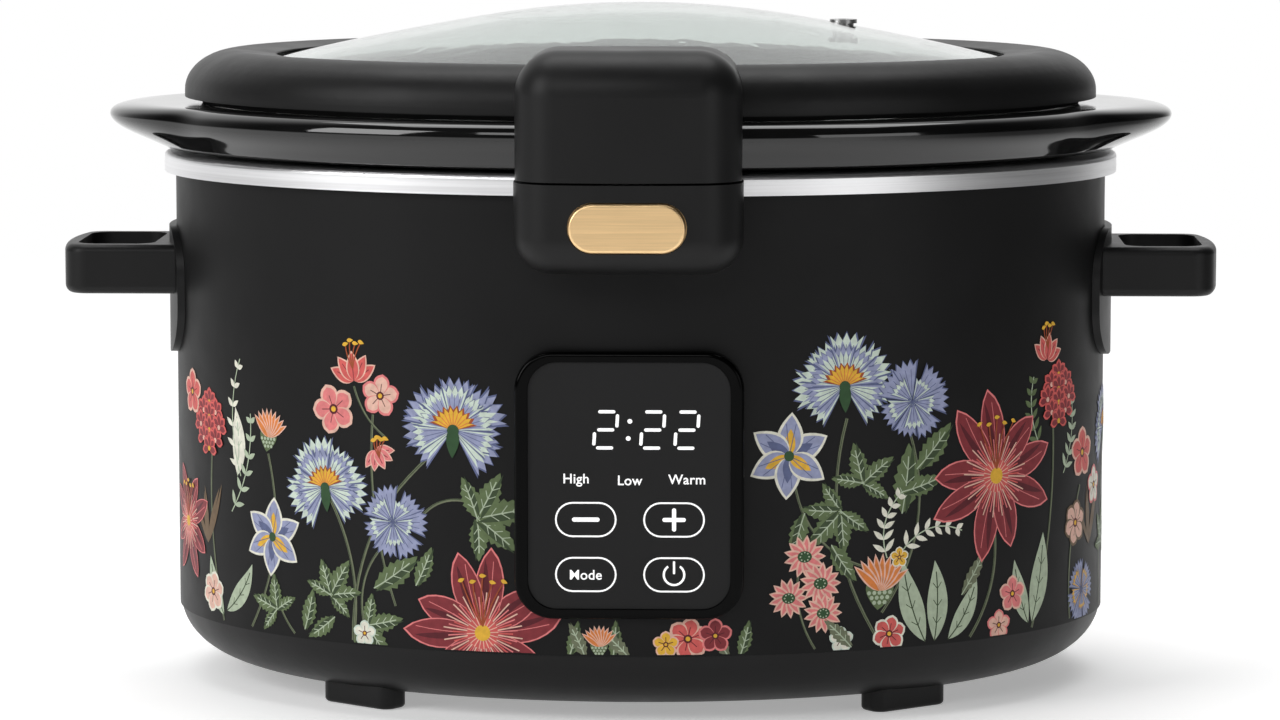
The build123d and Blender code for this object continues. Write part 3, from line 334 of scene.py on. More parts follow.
# ---- Printed flowers -----------------------------------------------------------------------
PRINT_LOW = 27.2         # the print is cut off where the wall meets the base
PRINT_STRIPS = 240       # the print is folded round the wall in this many flat strips
WALL_STEPS = 6000        # fine steps for measuring along the oval
PRINT_LIFT = 0.12
INK_LAYER = 0.003
INK_CELL = 1.5
PRINT_SHIFT = 4.0        # the planting sits this far to the right of the panel's middle
SCREEN_WHITE = 255
SCREEN_GAMMA = 2.2
LEAF_STEPS = 21
LEAF_TEETH = 7
LEAF_VEINS = (5, 9, 13)
LONG_LEAF_STEPS = 14
LONG_LEAF_VEINS = (3, 6, 9)
RIB_WIDTH = 0.45
VEIN_WIDTH = 0.3


def paint(name, color):
    """Flat ink with a slightly worn, uneven tone."""
    g = Graph("ink_" + name)
    g.color(g.noise(420, detail=4), darkened(color, 0.78), color)
    g.gloss(g.noise(90, detail=3), 0.42, 0.55)
    g.bump(g.noise(2600), 0.2, 0.00004)
    g.set(Specular_IOR_Level=0.25)
    return g.material


def from_screen(red, green, blue):
    """Linear colour from 0-255 display values."""
    return tuple((channel / SCREEN_WHITE) ** SCREEN_GAMMA for channel in (red, green, blue))


INKS = {
    "coral": from_screen(214, 96, 92),
    "burgundy": from_screen(132, 52, 58),
    "wine": from_screen(92, 34, 42),
    "rose": from_screen(228, 128, 128),
    "blush": from_screen(232, 186, 168),
    "yellow": from_screen(232, 180, 62),
    "orange": from_screen(222, 130, 66),
    "rust": from_screen(160, 80, 48),
    "lavender": from_screen(152, 158, 190),
    "slate": from_screen(96, 104, 140),
    "mint": from_screen(208, 222, 208),
    "ivory": from_screen(232, 230, 214),
    "leaf": from_screen(98, 114, 78),
    "leaf_dark": from_screen(62, 76, 52),
    "pale_leaf": from_screen(178, 192, 166),
    "stem": from_screen(112, 118, 94),
    "calyx": from_screen(52, 82, 52),
    "bark": from_screen(112, 92, 70),
}
INK_NAMES = list(INKS)


def heading(place, angle, reach):
    """The point at this distance from place, at an angle in degrees from straight right."""
    turn = math.radians(angle)
    return place[0] + reach * math.cos(turn), place[1] + reach * math.sin(turn)


def split(polygon, axis, level):
    """A convex polygon's part below a level of one axis, and its part above."""
    low, high = [], []
    for here, there in zip(polygon, polygon[1:] + polygon[:1]):
        if here[axis] <= level:
            low.append(here)
        if here[axis] >= level:
            high.append(here)
        if (here[axis] - level) * (there[axis] - level) < 0:
            share = (level - here[axis]) / (there[axis] - here[axis])
            cut = (here[0] + share * (there[0] - here[0]), here[1] + share * (there[1] - here[1]))
            low.append(cut)
            high.append(cut)
    return low, high


def cells_under(polygon):
    """The small squares that a polygon's box touches."""
    spans = []
    for axis in (0, 1):
        values = [point[axis] for point in polygon]
        spans.append(range(math.floor(min(values) / INK_CELL), math.floor(max(values) / INK_CELL) + 1))
    return [(across, up) for across in spans[0] for up in spans[1]]


class Drawing:
    """Thin coloured shapes in layers.  The first coordinate runs round the wall, the second is height."""

    def __init__(self):
        self.shapes = []     # (convex polygon, ink index, layer)
        self.top = {}        # highest layer so far in each small square of the drawing

    def add(self, ink, polygons):
        """One shape, over whatever has been drawn under it."""
        cells = {cell for polygon in polygons for cell in cells_under(polygon)}
        layer = 1 + max(self.top.get(cell, 0) for cell in cells)
        for cell in cells:
            self.top[cell] = layer
        for polygon in polygons:
            self.shapes.append((polygon, INK_NAMES.index(ink), layer))

    def ribbon(self, ink, middle, widths):
        """A band along a line of points, with its half width at each of them."""
        left, right = [], []
        for n, (here, width) in enumerate(zip(middle, widths)):
            before = middle[max(n - 1, 0)]
            after = middle[min(n + 1, len(middle) - 1)]
            span = math.hypot(after[0] - before[0], after[1] - before[1])
            side = ((before[1] - after[1]) / span * width, (after[0] - before[0]) / span * width)
            left.append((here[0] + side[0], here[1] + side[1]))
            right.append((here[0] - side[0], here[1] - side[1]))
        pairs = range(len(middle) - 1)
        self.add(ink, [[left[n], left[n + 1], right[n + 1], right[n]] for n in pairs])

    def line(self, ink, middle, width):
        self.ribbon(ink, middle, [width / 2] * len(middle))

    def blade(self, ink, place, angle, length, width, outline, bend=0.0, steps=9):
        """A petal or leaf from its base: outline(share of the length) is its share of the width."""
        middle = curved(place, angle, length, bend, steps)
        self.ribbon(ink, middle, [width / 2 * outline(n / steps) for n in range(steps + 1)])
        return middle

    def dot(self, ink, place, radius, flat=1.0, sides=12):
        rim = []
        for n in range(sides):
            turn = 2 * math.pi * n / sides
            rim.append((place[0] + radius * math.cos(turn), place[1] + radius * flat * math.sin(turn)))
        self.add(ink, [rim])

    def fan(self, ink, place, angle, spread, reach, teeth, depth=0.12):
        """A wedge with a toothed end, like a carnation's petal."""
        ends = []
        for n in range(2 * teeth + 1):
            turn = angle + spread * (n / (2 * teeth) - 0.5)
            ends.append(heading(place, turn, reach * (1 - depth * (n % 2))))
        self.add(ink, [[place, near, far] for near, far in zip(ends, ends[1:])])


def curved(place, angle, length, bend, steps):
    """Points along a line that turns evenly by bend degrees."""
    middle = [place]
    for n in range(steps):
        middle.append(heading(middle[-1], angle + bend * (n + 0.5) / steps, length / steps))
    return middle


def arched(start, end, rise, steps=10):
    """Points along a bowed line between two points, rise to its left at the middle."""
    middle = []
    for n in range(steps + 1):
        share = n / steps
        bow = 4 * rise * share * (1 - share) / math.dist(start, end)
        middle.append((
            start[0] + (end[0] - start[0]) * share - (end[1] - start[1]) * bow,
            start[1] + (end[1] - start[1]) * share + (end[0] - start[0]) * bow,
        ))
    return middle


def rounded_petal(share):
    return max(0.0, math.sin(math.pi * share ** 1.35)) ** 0.62


def pointed_petal(share):
    return max(0.0, math.sin(math.pi * share ** 0.8)) ** 0.85


def strap_petal(share):
    return max(0.0, math.sin(math.pi * share ** 1.1)) ** 0.7


def smooth_leaf(share):
    return max(0.0, math.sin(math.pi * share ** 0.85))


def toothed_leaf(share):
    tooth = (share * LEAF_TEETH) % 1
    return smooth_leaf(share) * (0.72 + 0.38 * tooth)


# -- leaves and stems
def leaf(art, place, angle, length, ink="leaf", rib="pale_leaf", width=0.46, bend=12):
    """A toothed leaf with a rib, side veins and one darker half."""
    across = length * width
    middle = art.blade(ink, place, angle, length, across, toothed_leaf, bend, LEAF_STEPS)
    shares = [n / LEAF_STEPS for n in range(LEAF_STEPS + 1)]
    shaded = []
    for point, share in zip(middle, shares):
        shaded.append(heading(point, angle + bend * share - 90, across * 0.13))
    dark = "leaf_dark" if ink == "leaf" else "stem"
    art.ribbon(dark, shaded, [across * 0.12 * smooth_leaf(share) for share in shares])
    art.line(rib, middle[:-4], RIB_WIDTH)
    for n in LEAF_VEINS:
        for side in (-1, 1):
            art.line(rib, curved(middle[n], angle + side * 42, across * 0.34, 0, 2), VEIN_WIDTH)


def leaf_spray(art, place, angle, size, count=5, ink="leaf", rib="pale_leaf"):
    """Leaflets in a fan from the end of a stalk."""
    for n in range(count):
        share = n / (count - 1) - 0.5
        reach = size * (1 - 0.55 * abs(share))
        leaf(art, place, angle + share * 190, reach, ink, rib, width=0.5, bend=20 * share)


def long_leaf(art, place, angle, length, ink="pale_leaf", rib="leaf_dark", bend=25):
    """A narrow leaf with a smooth edge."""
    middle = art.blade(ink, place, angle, length, length * 0.3, smooth_leaf, bend, LONG_LEAF_STEPS)
    art.line(rib, middle[:-2], 0.5)
    for n in LONG_LEAF_VEINS:
        slope = angle + bend * n / LONG_LEAF_STEPS
        for side in (-1, 1):
            art.line(rib, curved(middle[n], slope + side * 38, length * 0.1, 0, 2), VEIN_WIDTH)


def feathered(art, start, end, rise, ink="ivory", pairs=6):
    """A curved stalk with small narrow leaflets on both sides."""
    middle = arched(start, end, rise, 2 * pairs)
    art.line("pale_leaf", middle, 0.5)
    for n in range(1, pairs * 2, 2):
        here, there = middle[n], middle[n + 1]
        slope = math.degrees(math.atan2(there[1] - here[1], there[0] - here[0]))
        for side in (-1, 1):
            art.blade(ink, here, slope + side * 48, 6.2 - 0.25 * n, 2.0, smooth_leaf, steps=5)


def grass(art, place, height, ink="bark", count=5):
    """A tuft of thin blades that bend to alternate sides."""
    for n in range(count):
        lean = 90 + 16 * (n - (count - 1) / 2)
        reach = height * (1 - 0.08 * n)
        art.blade(ink, place, lean, reach, 2.4, pointed_petal, bend=14 * (-1) ** n, steps=8)


def stem(art, start, end, rise, width=1.0):
    """A bowed stalk with a thin dark line along it."""
    art.line("stem", arched(start, end, rise, 14), width)
    art.line("leaf_dark", arched(start, end, rise + 0.3, 14), width * 0.3)


# -- flowers
def frilled_tier(art, place, radius, leans, tilt, petal, edge, spread):
    """One tier of petals with toothed ends, each a little different."""
    for n, lean in enumerate(leans):
        reach = radius * (1.0 + 0.09 * math.sin(5.1 * n + radius))
        turn = tilt + lean + 5 * math.sin(3.7 * n + place[0])
        art.fan("slate", place, turn, spread + 5, reach * 1.035, 4, 0.17)
        art.fan(edge, place, turn, spread, reach, 4, 0.15)
        art.fan(petal, place, turn, spread * 0.82, reach * 0.86, 3, 0.2)
        for vein in (-0.28, 0, 0.28):
            art.line("slate", curved(place, turn + vein * spread, reach * 0.78, 0, 2), 0.26)


def carnation(art, place, radius, petal="mint", inner="lavender", tilt=90):
    """Side view of a frilled flower: two tiers, a green cup and a brush of stamens."""
    outer = (-128, 128, -96, 96, -64, 64, -32, 32, 0)
    middle = (-110, 110, -74, 74, -38, 38, 0)
    frilled_tier(art, place, radius, outer, tilt, petal, inner, 40)
    frilled_tier(art, place, radius * 0.78, middle, tilt, inner, petal, 36)
    cup = heading(place, tilt, -0.55 * radius)
    art.blade("calyx", cup, tilt, 0.6 * radius, 0.26 * radius, rounded_petal)
    heart = heading(place, tilt, -0.02 * radius)
    art.fan("rust", heart, tilt, 150, radius * 0.5, 9, 0.2)
    art.fan("yellow", heart, tilt, 140, radius * 0.45, 9, 0.24)
    for lean in range(-60, 61, 15):
        art.line("orange", curved(heart, tilt + lean, radius * 0.34, 0, 2), 0.4)
    art.dot("calyx", heart, radius * 0.12)


def ruffled(art, place, radius, petal="lavender", edge="mint"):
    """Loose flower made of frilled petals all round."""
    frilled_tier(art, place, radius, (0, 52, 104, 155, 206, 258, 309), 100, petal, petal, 42)
    frilled_tier(art, place, radius * 0.68, (20, 92, 160, 235, 306), 112, petal, edge, 48)
    for n in range(7):
        art.dot("slate", heading(place, 51 * n, radius * 0.13), 0.45, sides=6)


def iris(art, place, radius):
    """Pointed lilac petals with striped yellow hearts."""
    for n in range(6):
        lean = 60 * n + 26
        art.blade("ivory", place, lean, radius, radius * 0.62, pointed_petal)
        art.blade("lavender", place, lean, radius * 0.93, radius * 0.5, pointed_petal)
        heart = "yellow" if n % 2 else "slate"
        art.blade(heart, place, lean, radius * 0.62, radius * 0.26, pointed_petal)
        for side in (-9, 9):
            art.line("slate", curved(place, lean + side, radius * 0.74, 0, 2), 0.3)
    art.dot("calyx", place, radius * 0.12)


def star_flower(art, place, radius, petals=9, turned=0):
    """Large pointed flower with a ring of fine filaments."""
    for n in range(petals):
        lean = 360 / petals * n + turned
        reach = radius * (1 + 0.08 * math.sin(4.3 * n))
        bend = 12 * (-1) ** n
        art.blade("rose", place, lean, reach, radius * 0.37, strap_petal, bend)
        art.blade("burgundy", place, lean, reach * 0.97, radius * 0.34, strap_petal, bend)
        art.blade("wine", place, lean + 4, reach * 0.86, radius * 0.08, strap_petal, bend)
        art.line("rose", curved(place, lean - 3, reach * 0.84, bend, 5), 0.28)
    for n in range(60):
        ink = ("coral", "rose", "blush")[n % 3]
        art.line(ink, curved(place, 6 * n, radius * (0.38 + 0.06 * (n % 3)), 0, 2), 0.5)
    art.dot("coral", place, radius * 0.2)
    for n in range(20):
        art.line("blush", curved(place, 18 * n + 5, radius * 0.2, 0, 1), 0.35)
    art.dot("yellow", place, radius * 0.1)
    stamens(art, heading(place, 88, radius * 0.08), radius * 0.62)


def stamens(art, place, height, count=5):
    """Bowed filaments, each with a yellow tip lying across its end."""
    for n in range(count):
        lean = 90 + 13 * (n - (count - 1) / 2)
        end = heading(place, lean, height * (1 - 0.1 * (n % 2)))
        art.line("rust", arched(place, end, 0.6, 4), 0.5)
        art.blade("yellow", heading(end, lean + 90, -1.4), lean + 90, 2.8, 1.5, rounded_petal, steps=5)


def blossom(art, place, radius, petal="coral", edge="blush", petals=5, turned=18):
    """Small open flower with edged petals and dotted heart."""
    for n in range(petals):
        lean = 360 / petals * n + turned
        art.blade(edge, place, lean, radius, radius * 0.82, rounded_petal)
        art.blade(petal, place, lean, radius * 0.88, radius * 0.64, rounded_petal)
        art.line("wine", curved(place, lean, radius * 0.55, 0, 2), 0.3)
    art.dot("wine", place, radius * 0.2)
    art.dot("yellow", place, radius * 0.11)


def bell(art, place, radius, tilt=90, petal="coral", edge="blush"):
    """Side view of a flaring flower with long stamens."""
    for lean in (-62, 62, -34, 34, 0):
        art.blade(edge, place, tilt + lean, radius, radius * 0.52, pointed_petal)
        art.blade(petal, place, tilt + lean, radius * 0.93, radius * 0.42, pointed_petal)
        art.line("burgundy", curved(place, tilt + lean, radius * 0.7, 0, 2), 0.35)
    stamens(art, heading(place, tilt, radius * 0.4), radius * 0.95, 4)


def aster(art, place, radius, ink="rose", petals=13):
    """Small flower with many narrow petals and a dotted green heart."""
    for n in range(petals):
        lean = 360 / petals * n
        art.blade("blush", place, lean, radius, radius * 0.42, pointed_petal, steps=6)
        art.blade(ink, place, lean, radius * 0.88, radius * 0.24, pointed_petal, steps=6)
    art.dot("calyx", place, radius * 0.34, flat=0.8)
    for n in range(8):
        art.dot("pale_leaf", heading(place, 45 * n, radius * 0.2), 0.32, sides=6)


def thistle(art, place, radius, tilt=90):
    """Scaly green cup with a brush of orange petals."""
    cup = heading(place, tilt, -0.5 * radius)
    art.blade("leaf", cup, tilt, 0.95 * radius, 0.8 * radius, rounded_petal)
    for n in range(9):
        lean = tilt + 13 * (n - 4)
        art.blade("blush", place, lean, radius, radius * 0.26, pointed_petal, steps=6)
        art.blade("orange", place, lean, radius * 0.92, radius * 0.17, pointed_petal, steps=6)
    for row in range(3):
        for n in range(5 - row):
            across = (n - (4 - row) / 2) * 0.15
            down = 0.04 + 0.13 * row
            spot = (place[0] + across * radius, place[1] - down * radius)
            art.dot("pale_leaf", spot, radius * 0.06, sides=6)


def berry_head(art, place, radius, ink="burgundy", light="coral"):
    """Upright cluster of small cupped florets."""
    spots = [(0, 1.5), (-0.62, 1.05), (0.62, 1.05), (0, 0.8), (-0.95, 0.35), (0.95, 0.35), (0, 0.15),
             (-0.6, -0.3), (0.6, -0.3), (0, -0.75)]
    for n, (across, up) in enumerate(spots):
        spot = (place[0] + across * radius * 0.6, place[1] + up * radius * 0.6)
        for lean in (40, 90, 140, 190, 350):
            art.blade(light, spot, lean, radius * 0.44, radius * 0.28, rounded_petal, steps=5)
            art.blade(ink, spot, lean, radius * 0.36, radius * 0.18, rounded_petal, steps=5)
        art.dot("yellow" if n % 3 == 0 else "blush", spot, radius * 0.08, sides=6)


# -- the planting
def left_group(art):
    """Everything to the left of the panel.  Places are in mm: round the wall, then up."""
    stem(art, (-110, 28), (-120, 80), -5, 1.1)
    stem(art, (-110, 28), (-78, 98), 9, 1.1)
    stem(art, (-92, 42), (-101, 112), 4, 0.9)
    stem(art, (-104, 30), (-95, 66), 6, 0.9)
    stem(art, (-96, 104), (-109, 122), 2, 0.8)
    stem(art, (-137, 28), (-148, 58), 4, 0.9)
    stem(art, (-160, 28), (-150, 94), -8, 1.0)
    stem(art, (-178, 28), (-186, 92), 4, 1.0)
    stem(art, (-83, 74), (-58, 80), 5, 1.0)
    leaf_spray(art, (-60, 76), 12, 22, 5)
    leaf_spray(art, (-120, 44), 58, 16, 5)
    leaf_spray(art, (-146, 36), 130, 15, 4)
    leaf_spray(art, (-104, 34), -20, 17, 4)
    leaf(art, (-101, 48), 30, 22)
    leaf(art, (-118, 36), 220, 15, bend=-10)
    leaf(art, (-132, 30), 70, 16)
    leaf(art, (-84, 50), 60, 16)
    long_leaf(art, (-176, 32), 30, 26, bend=40)
    long_leaf(art, (-178, 30), 130, 24, bend=-30)
    long_leaf(art, (-168, 84), 80, 26, ink="ivory", rib="pale_leaf")
    feathered(art, (-166, 84), (-166, 128), 5)
    feathered(art, (-172, 70), (-160, 108), -4, ink="pale_leaf")
    grass(art, (-190, 56), 26)
    leaf(art, (-66, 29), 150, 16, ink="leaf")
    bell(art, (-109, 124), 11, tilt=96)
    blossom(art, (-118, 113), 9.5, "rose", "blush", 5, 40)
    blossom(art, (-98, 119), 8, "blush", "rose", 5, 10)
    bell(art, (-100, 99), 8, tilt=-60, petal="rose")
    carnation(art, (-69, 108), 19, "mint", "lavender", 88)
    carnation(art, (-122, 84), 17, "lavender", "mint", 96)
    ruffled(art, (-93, 73), 13)
    iris(art, (-148, 63), 15)
    star_flower(art, (-58, 34), 30, 10, 6)
    berry_head(art, (-188, 98), 13)
    thistle(art, (-150, 100), 11, 80)
    star_flower(art, (-210, 62), 22, 8, 20)
    blossom(art, (-204, 112), 9, "coral", "blush")
    blossom(art, (-105, 31), 5, "ivory", "mint")
    blossom(art, (-186, 38), 8, "blush", "ivory", 6)


def low_edge(art):
    """Low planting under and beside the panel."""
    for across, lean in ((-26, 70), (-20, 110), (-10, 80), (-4, 130), (8, 60), (32, 120), (36, 70)):
        leaf(art, (across, 26), lean, 14, ink="leaf" if lean < 100 else "stem", width=0.4)
    blossom(art, (17, 33), 8, "coral", "blush", 6)
    blossom(art, (27, 34), 6.5, "burgundy", "rose")
    blossom(art, (9, 31), 5, "yellow", "blush")
    thistle(art, (-15, 30), 8)


def right_group(art):
    """Everything to the right of the panel."""
    stem(art, (90, 28), (76, 112), 10, 1.1)
    stem(art, (90, 40), (101, 106), -9, 1.0)
    stem(art, (88, 56), (56, 90), 8, 0.9)
    stem(art, (128, 28), (139, 70), -5, 1.2)
    stem(art, (160, 28), (172, 110), -5, 1.1)
    stem(art, (186, 28), (194, 78), 4, 1.0)
    stem(art, (64, 28), (58, 58), 3, 0.8)
    leaf_spray(art, (82, 88), 70, 17, 4)
    leaf_spray(art, (74, 78), 225, 18, 5)
    leaf(art, (98, 76), 78, 26)
    leaf(art, (104, 92), 42, 22)
    leaf(art, (60, 78), 250, 17)
    leaf(art, (70, 66), 300, 17)
    leaf(art, (98, 84), 10, 18)
    feathered(art, (92, 60), (98, 84), 4)
    feathered(art, (98, 62), (124, 68), 5)
    long_leaf(art, (108, 28), 118, 32, bend=-22)
    long_leaf(art, (112, 28), 80, 30, bend=20)
    long_leaf(art, (118, 28), 42, 26, bend=35)
    long_leaf(art, (160, 30), 70, 34, bend=18)
    long_leaf(art, (158, 30), 118, 26, bend=-20)
    leaf(art, (124, 44), 50, 20, ink="stem", width=0.3)
    feathered(art, (164, 96), (160, 122), 3, ink="leaf")
    feathered(art, (180, 84), (186, 112), -3, ink="pale_leaf")
    grass(art, (204, 54), 28)
    carnation(art, (75, 124), 18, "lavender", "mint", 92)
    ruffled(art, (102, 117), 14)
    iris(art, (54, 99), 16)
    star_flower(art, (140, 87), 31, 9, 12)
    berry_head(art, (176, 110), 13)
    bell(art, (168, 128), 10, tilt=80)
    blossom(art, (196, 90), 10, "coral", "blush")
    blossom(art, (190, 64), 9, "blush", "bark", 6)
    blossom(art, (210, 76), 8, "ivory", "rose")
    ruffled(art, (196, 38), 12, "lavender", "yellow")
    blossom(art, (149, 42), 7, "rose", "blush")
    blossom(art, (142, 31), 6, "blush", "rose")
    aster(art, (60, 62), 8)
    aster(art, (54, 47), 7.5)
    aster(art, (66, 52), 8)
    aster(art, (67, 41), 7.5)
    thistle(art, (89, 48), 14, 84)
    blossom(art, (93, 32), 7, "coral", "ivory", 6)
    blossom(art, (74, 31), 5, "ivory", "mint")
    leaf(art, (78, 28), 130, 15, ink="stem", width=0.4)
    blossom(art, (97, 60), 4, "yellow", "ivory")
    carnation(art, (228, 96), 16, "mint", "lavender", 84)
    stem(art, (222, 28), (228, 86), 4, 1.0)
    leaf_spray(art, (226, 52), 80, 18, 5)


def outward(x, y):
    """The direction straight out of the oval wall at a point of it."""
    return Vector((x / WALL_HALF_WIDTH ** 2, y / WALL_HALF_DEPTH ** 2)).normalized()


def wall_corners():
    """Points at equal steps round the wall from the front to the right, each with its outward
    direction, and the length all round."""
    walk = []
    for n in range(WALL_STEPS + 1):
        turn = 2 * math.pi * n / WALL_STEPS
        walk.append((WALL_HALF_WIDTH * math.sin(turn), -WALL_HALF_DEPTH * math.cos(turn)))
    lengths = [0.0]
    for here, there in zip(walk, walk[1:]):
        lengths.append(lengths[-1] + math.dist(here, there))
    corners = []
    n = 0
    for strip in range(PRINT_STRIPS + 1):
        while n < WALL_STEPS and lengths[n] < lengths[-1] * strip / PRINT_STRIPS:
            n += 1
        corners.append((Vector(walk[n]), outward(*walk[n])))
    return corners, lengths[-1]


def add_print():
    """The drawing, once round the front and once round the back, folded onto the wall."""
    art = Drawing()
    low_edge(art)
    left_group(art)
    right_group(art)
    corners, girth = wall_corners()
    width = girth / PRINT_STRIPS
    points, faces, inks = [], [], []
    for shape, ink, layer in art.shapes:
        polygon = [(across + PRINT_SHIFT, up) for across, up in shape]
        rest = split(polygon, 1, PRINT_LOW)[1]
        lift = PRINT_LIFT + INK_LAYER * layer
        first = math.floor(min(point[0] for point in polygon) / width)
        last = math.floor(max(point[0] for point in polygon) / width)
        for strip in range(first, last + 1):
            piece, rest = split(rest, 0, (strip + 1) * width) if rest else ([], [])
            if len(piece) < 3:
                continue
            for turned in (0, PRINT_STRIPS // 2):
                here, out_here = corners[(strip + turned) % PRINT_STRIPS]
                there, out_there = corners[(strip + turned) % PRINT_STRIPS + 1]
                low, high = here + out_here * lift, there + out_there * lift
                faces.append(range(len(points), len(points) + len(piece)))
                inks.append(ink)
                for across, up in piece:
                    x, y = low.lerp(high, across / width - strip)
                    points.append((x * MM, y * MM, up * MM))
    paints = [paint(name, INKS[name]) for name in INK_NAMES]
    flowers = add_piece("printed_flowers", points, faces, paints)
    for face, ink in zip(flowers.data.polygons, inks):
        face.material_index = ink
    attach(flowers, "base")


# ---- Panel legends -------------------------------------------------------------------------
PANEL_Z = 89.3
LENS_FRONT = 137.5
LEGEND_LIFT = 0.06
DIGIT_HEIGHT = 14.3
DIGIT_WIDTH = 9.1
DIGIT_ROW = 20.4
DIGIT_SLANT = 0.06
SEGMENT_WIDTH = 1.2
SEGMENT_GAP = 0.85
DIGIT_PLACES = (-8.4, 8.5, 20.8)
DIGIT_SEGMENTS = "abged"       # top, upper right, middle, lower left and bottom bars make a 2
WORDS = (("High", -19.1, 2.8), ("Low", 0.2, 2.2), ("Warm", 20.9, 2.6), ("Mode", -15.7, -32.2))
KEY_PLACES = ((-15.6, -12.2), (16.2, -12.2), (-15.6, -32.2), (16.2, -32.2))
KEY_SIZE = (22.2, 12.8)
KEY_STROKE = 0.62
WORD_SIZE = 5.0
WORD_BOLDNESS = 0.06
WORD_SPACING = 1.04
WORD_MIDDLE = 0.36       # half the height of the letters, as a share of their size
COLON_DOT = 1.7
COLON_RISE = 3.1
MINUS_REACH = 4.2
MINUS_STROKE = 1.6
PLUS_REACH = 3.5
PLUS_GAP = 0.8
PLUS_STROKE = 1.5
POWER_RADIUS = 3.7
POWER_OPENING = 70
POWER_STROKE = 0.8
POWER_BAR = (0.6, 4.6)
LEGEND_GLOW = 0.40
CAP_STEPS = 6
LOOP_STEPS = 14


def glowing_print():
    """Back-lit white legend."""
    g = Graph("white_legend")
    g.link(g.blend(g.noise(400), (0.80, 0.80, 0.80), (0.88, 0.88, 0.88)), g.shader.inputs["Base Color"])
    g.gloss(g.noise(200), 0.4, 0.5)
    g.set(Emission_Color=(1, 1, 1, 1), Emission_Strength=LEGEND_GLOW)
    return g.material


def panel_piece(name, polygons, material):
    """Flat polygons lying on the touch lens, given as (right, up) from the middle of the panel."""
    points, faces = [], []
    for polygon in polygons:
        faces.append(range(len(points), len(points) + len(polygon)))
        for across, up in polygon:
            points.append((across * MM, -(LENS_FRONT + LEGEND_LIFT) * MM, (PANEL_Z + up) * MM))
    piece = add_piece(name, points, faces, [material])
    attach(piece, "base")


def bar(start, end, width):
    """Flat bar with rounded ends, for a display segment or a stroke."""
    (x1, y1), (x2, y2) = start, end
    span = math.dist(start, end)
    along = ((x2 - x1) / span, (y2 - y1) / span)
    half = width / 2
    outline = []
    for base, facing in ((end, 1), (start, -1)):
        for n in range(CAP_STEPS + 1):
            turn = math.pi * (n / CAP_STEPS - 0.5)
            out = math.cos(turn) * half * facing
            side = -math.sin(turn) * half * facing
            x = base[0] + along[0] * out + along[1] * side
            y = base[1] + along[1] * out - along[0] * side
            outline.append((x, y))
    return outline


def digit(middle):
    """The lit bars of a seven-segment 2."""
    half_w = (DIGIT_WIDTH - SEGMENT_WIDTH) / 2
    half_h = (DIGIT_HEIGHT - SEGMENT_WIDTH) / 2
    gap = SEGMENT_GAP + SEGMENT_WIDTH / 2
    ends = {
        "a": ((-half_w + gap, half_h), (half_w - gap, half_h)),
        "b": ((half_w, half_h - gap), (half_w, gap)),
        "g": ((-half_w + gap, 0), (half_w - gap, 0)),
        "e": ((-half_w, -gap), (-half_w, -half_h + gap)),
        "d": ((-half_w + gap, -half_h), (half_w - gap, -half_h)),
    }
    bars = []
    for segment in DIGIT_SEGMENTS:
        slanted = [(middle + x + DIGIT_SLANT * y, DIGIT_ROW + y) for x, y in ends[segment]]
        bars.append(bar(*slanted, SEGMENT_WIDTH))
    return bars


def rounded_loop(width, height):
    """Outline of a pill shape."""
    radius = height / 2
    loop = []
    for side in (1, -1):
        for n in range(LOOP_STEPS + 1):
            turn = math.pi * (n / LOOP_STEPS - 0.5)
            x = width / 2 - radius + radius * math.cos(turn)
            y = radius * math.sin(turn)
            loop.append((side * x, side * y))
    return loop


def key_ring(place):
    """Thin pill-shaped frame of a touch key, as quads."""
    width, height = KEY_SIZE
    outer = rounded_loop(width, height)
    inner = rounded_loop(width - 2 * KEY_STROKE, height - 2 * KEY_STROKE)
    quads = []
    for n in range(len(outer)):
        after = (n + 1) % len(outer)
        quad = [outer[n], outer[after], inner[after], inner[n]]
        quads.append([(place[0] + x, place[1] + y) for x, y in quad])
    return quads


def arc_stroke(middle, radius, start, end, width, steps=28):
    """Part of a thin ring between two angles in degrees, as quads."""
    quads = []
    for n in range(steps):
        first, second = (start + (end - start) * (n + k) / steps for k in (0, 1))
        inner, outer = radius - width / 2, radius + width / 2
        quads.append([heading(middle, first, inner), heading(middle, second, inner),
                      heading(middle, second, outer), heading(middle, first, outer)])
    return quads


def add_word(text, place, material):
    """One of the plain function words, as flat letters."""
    curve = bpy.data.curves.new("word_" + text, "FONT")
    curve.body = text
    curve.align_x = "CENTER"
    curve.size = WORD_SIZE * MM
    curve.offset = WORD_BOLDNESS * MM
    curve.space_character = WORD_SPACING
    word = bpy.data.objects.new("legend_" + text.lower(), curve)
    foot = PANEL_Z + place[1] - WORD_SIZE * WORD_MIDDLE
    word.location = (place[0] * MM, -(LENS_FRONT + LEGEND_LIFT) * MM, foot * MM)
    word.rotation_euler = (math.pi / 2, 0, 0)
    curve.materials.append(material)
    bpy.context.scene.collection.objects.link(word)
    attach(word, "base")


def colon():
    """The two dots between hours and minutes, leaning like the digits."""
    dots = []
    for side in (-1, 1):
        middle = 0.3 * side
        up = DIGIT_ROW + COLON_RISE * side
        dots.append(bar((middle - 0.05, up), (middle + 0.05, up), COLON_DOT))
    return dots


def minus_sign(x, y):
    return [bar((x - MINUS_REACH, y), (x + MINUS_REACH, y), MINUS_STROKE)]


def plus_sign(x, y):
    return [
        bar((x - PLUS_REACH, y), (x + PLUS_REACH, y), PLUS_STROKE),
        bar((x, y + PLUS_GAP), (x, y + PLUS_REACH), PLUS_STROKE),
        bar((x, y - PLUS_REACH), (x, y - PLUS_GAP), PLUS_STROKE),
    ]


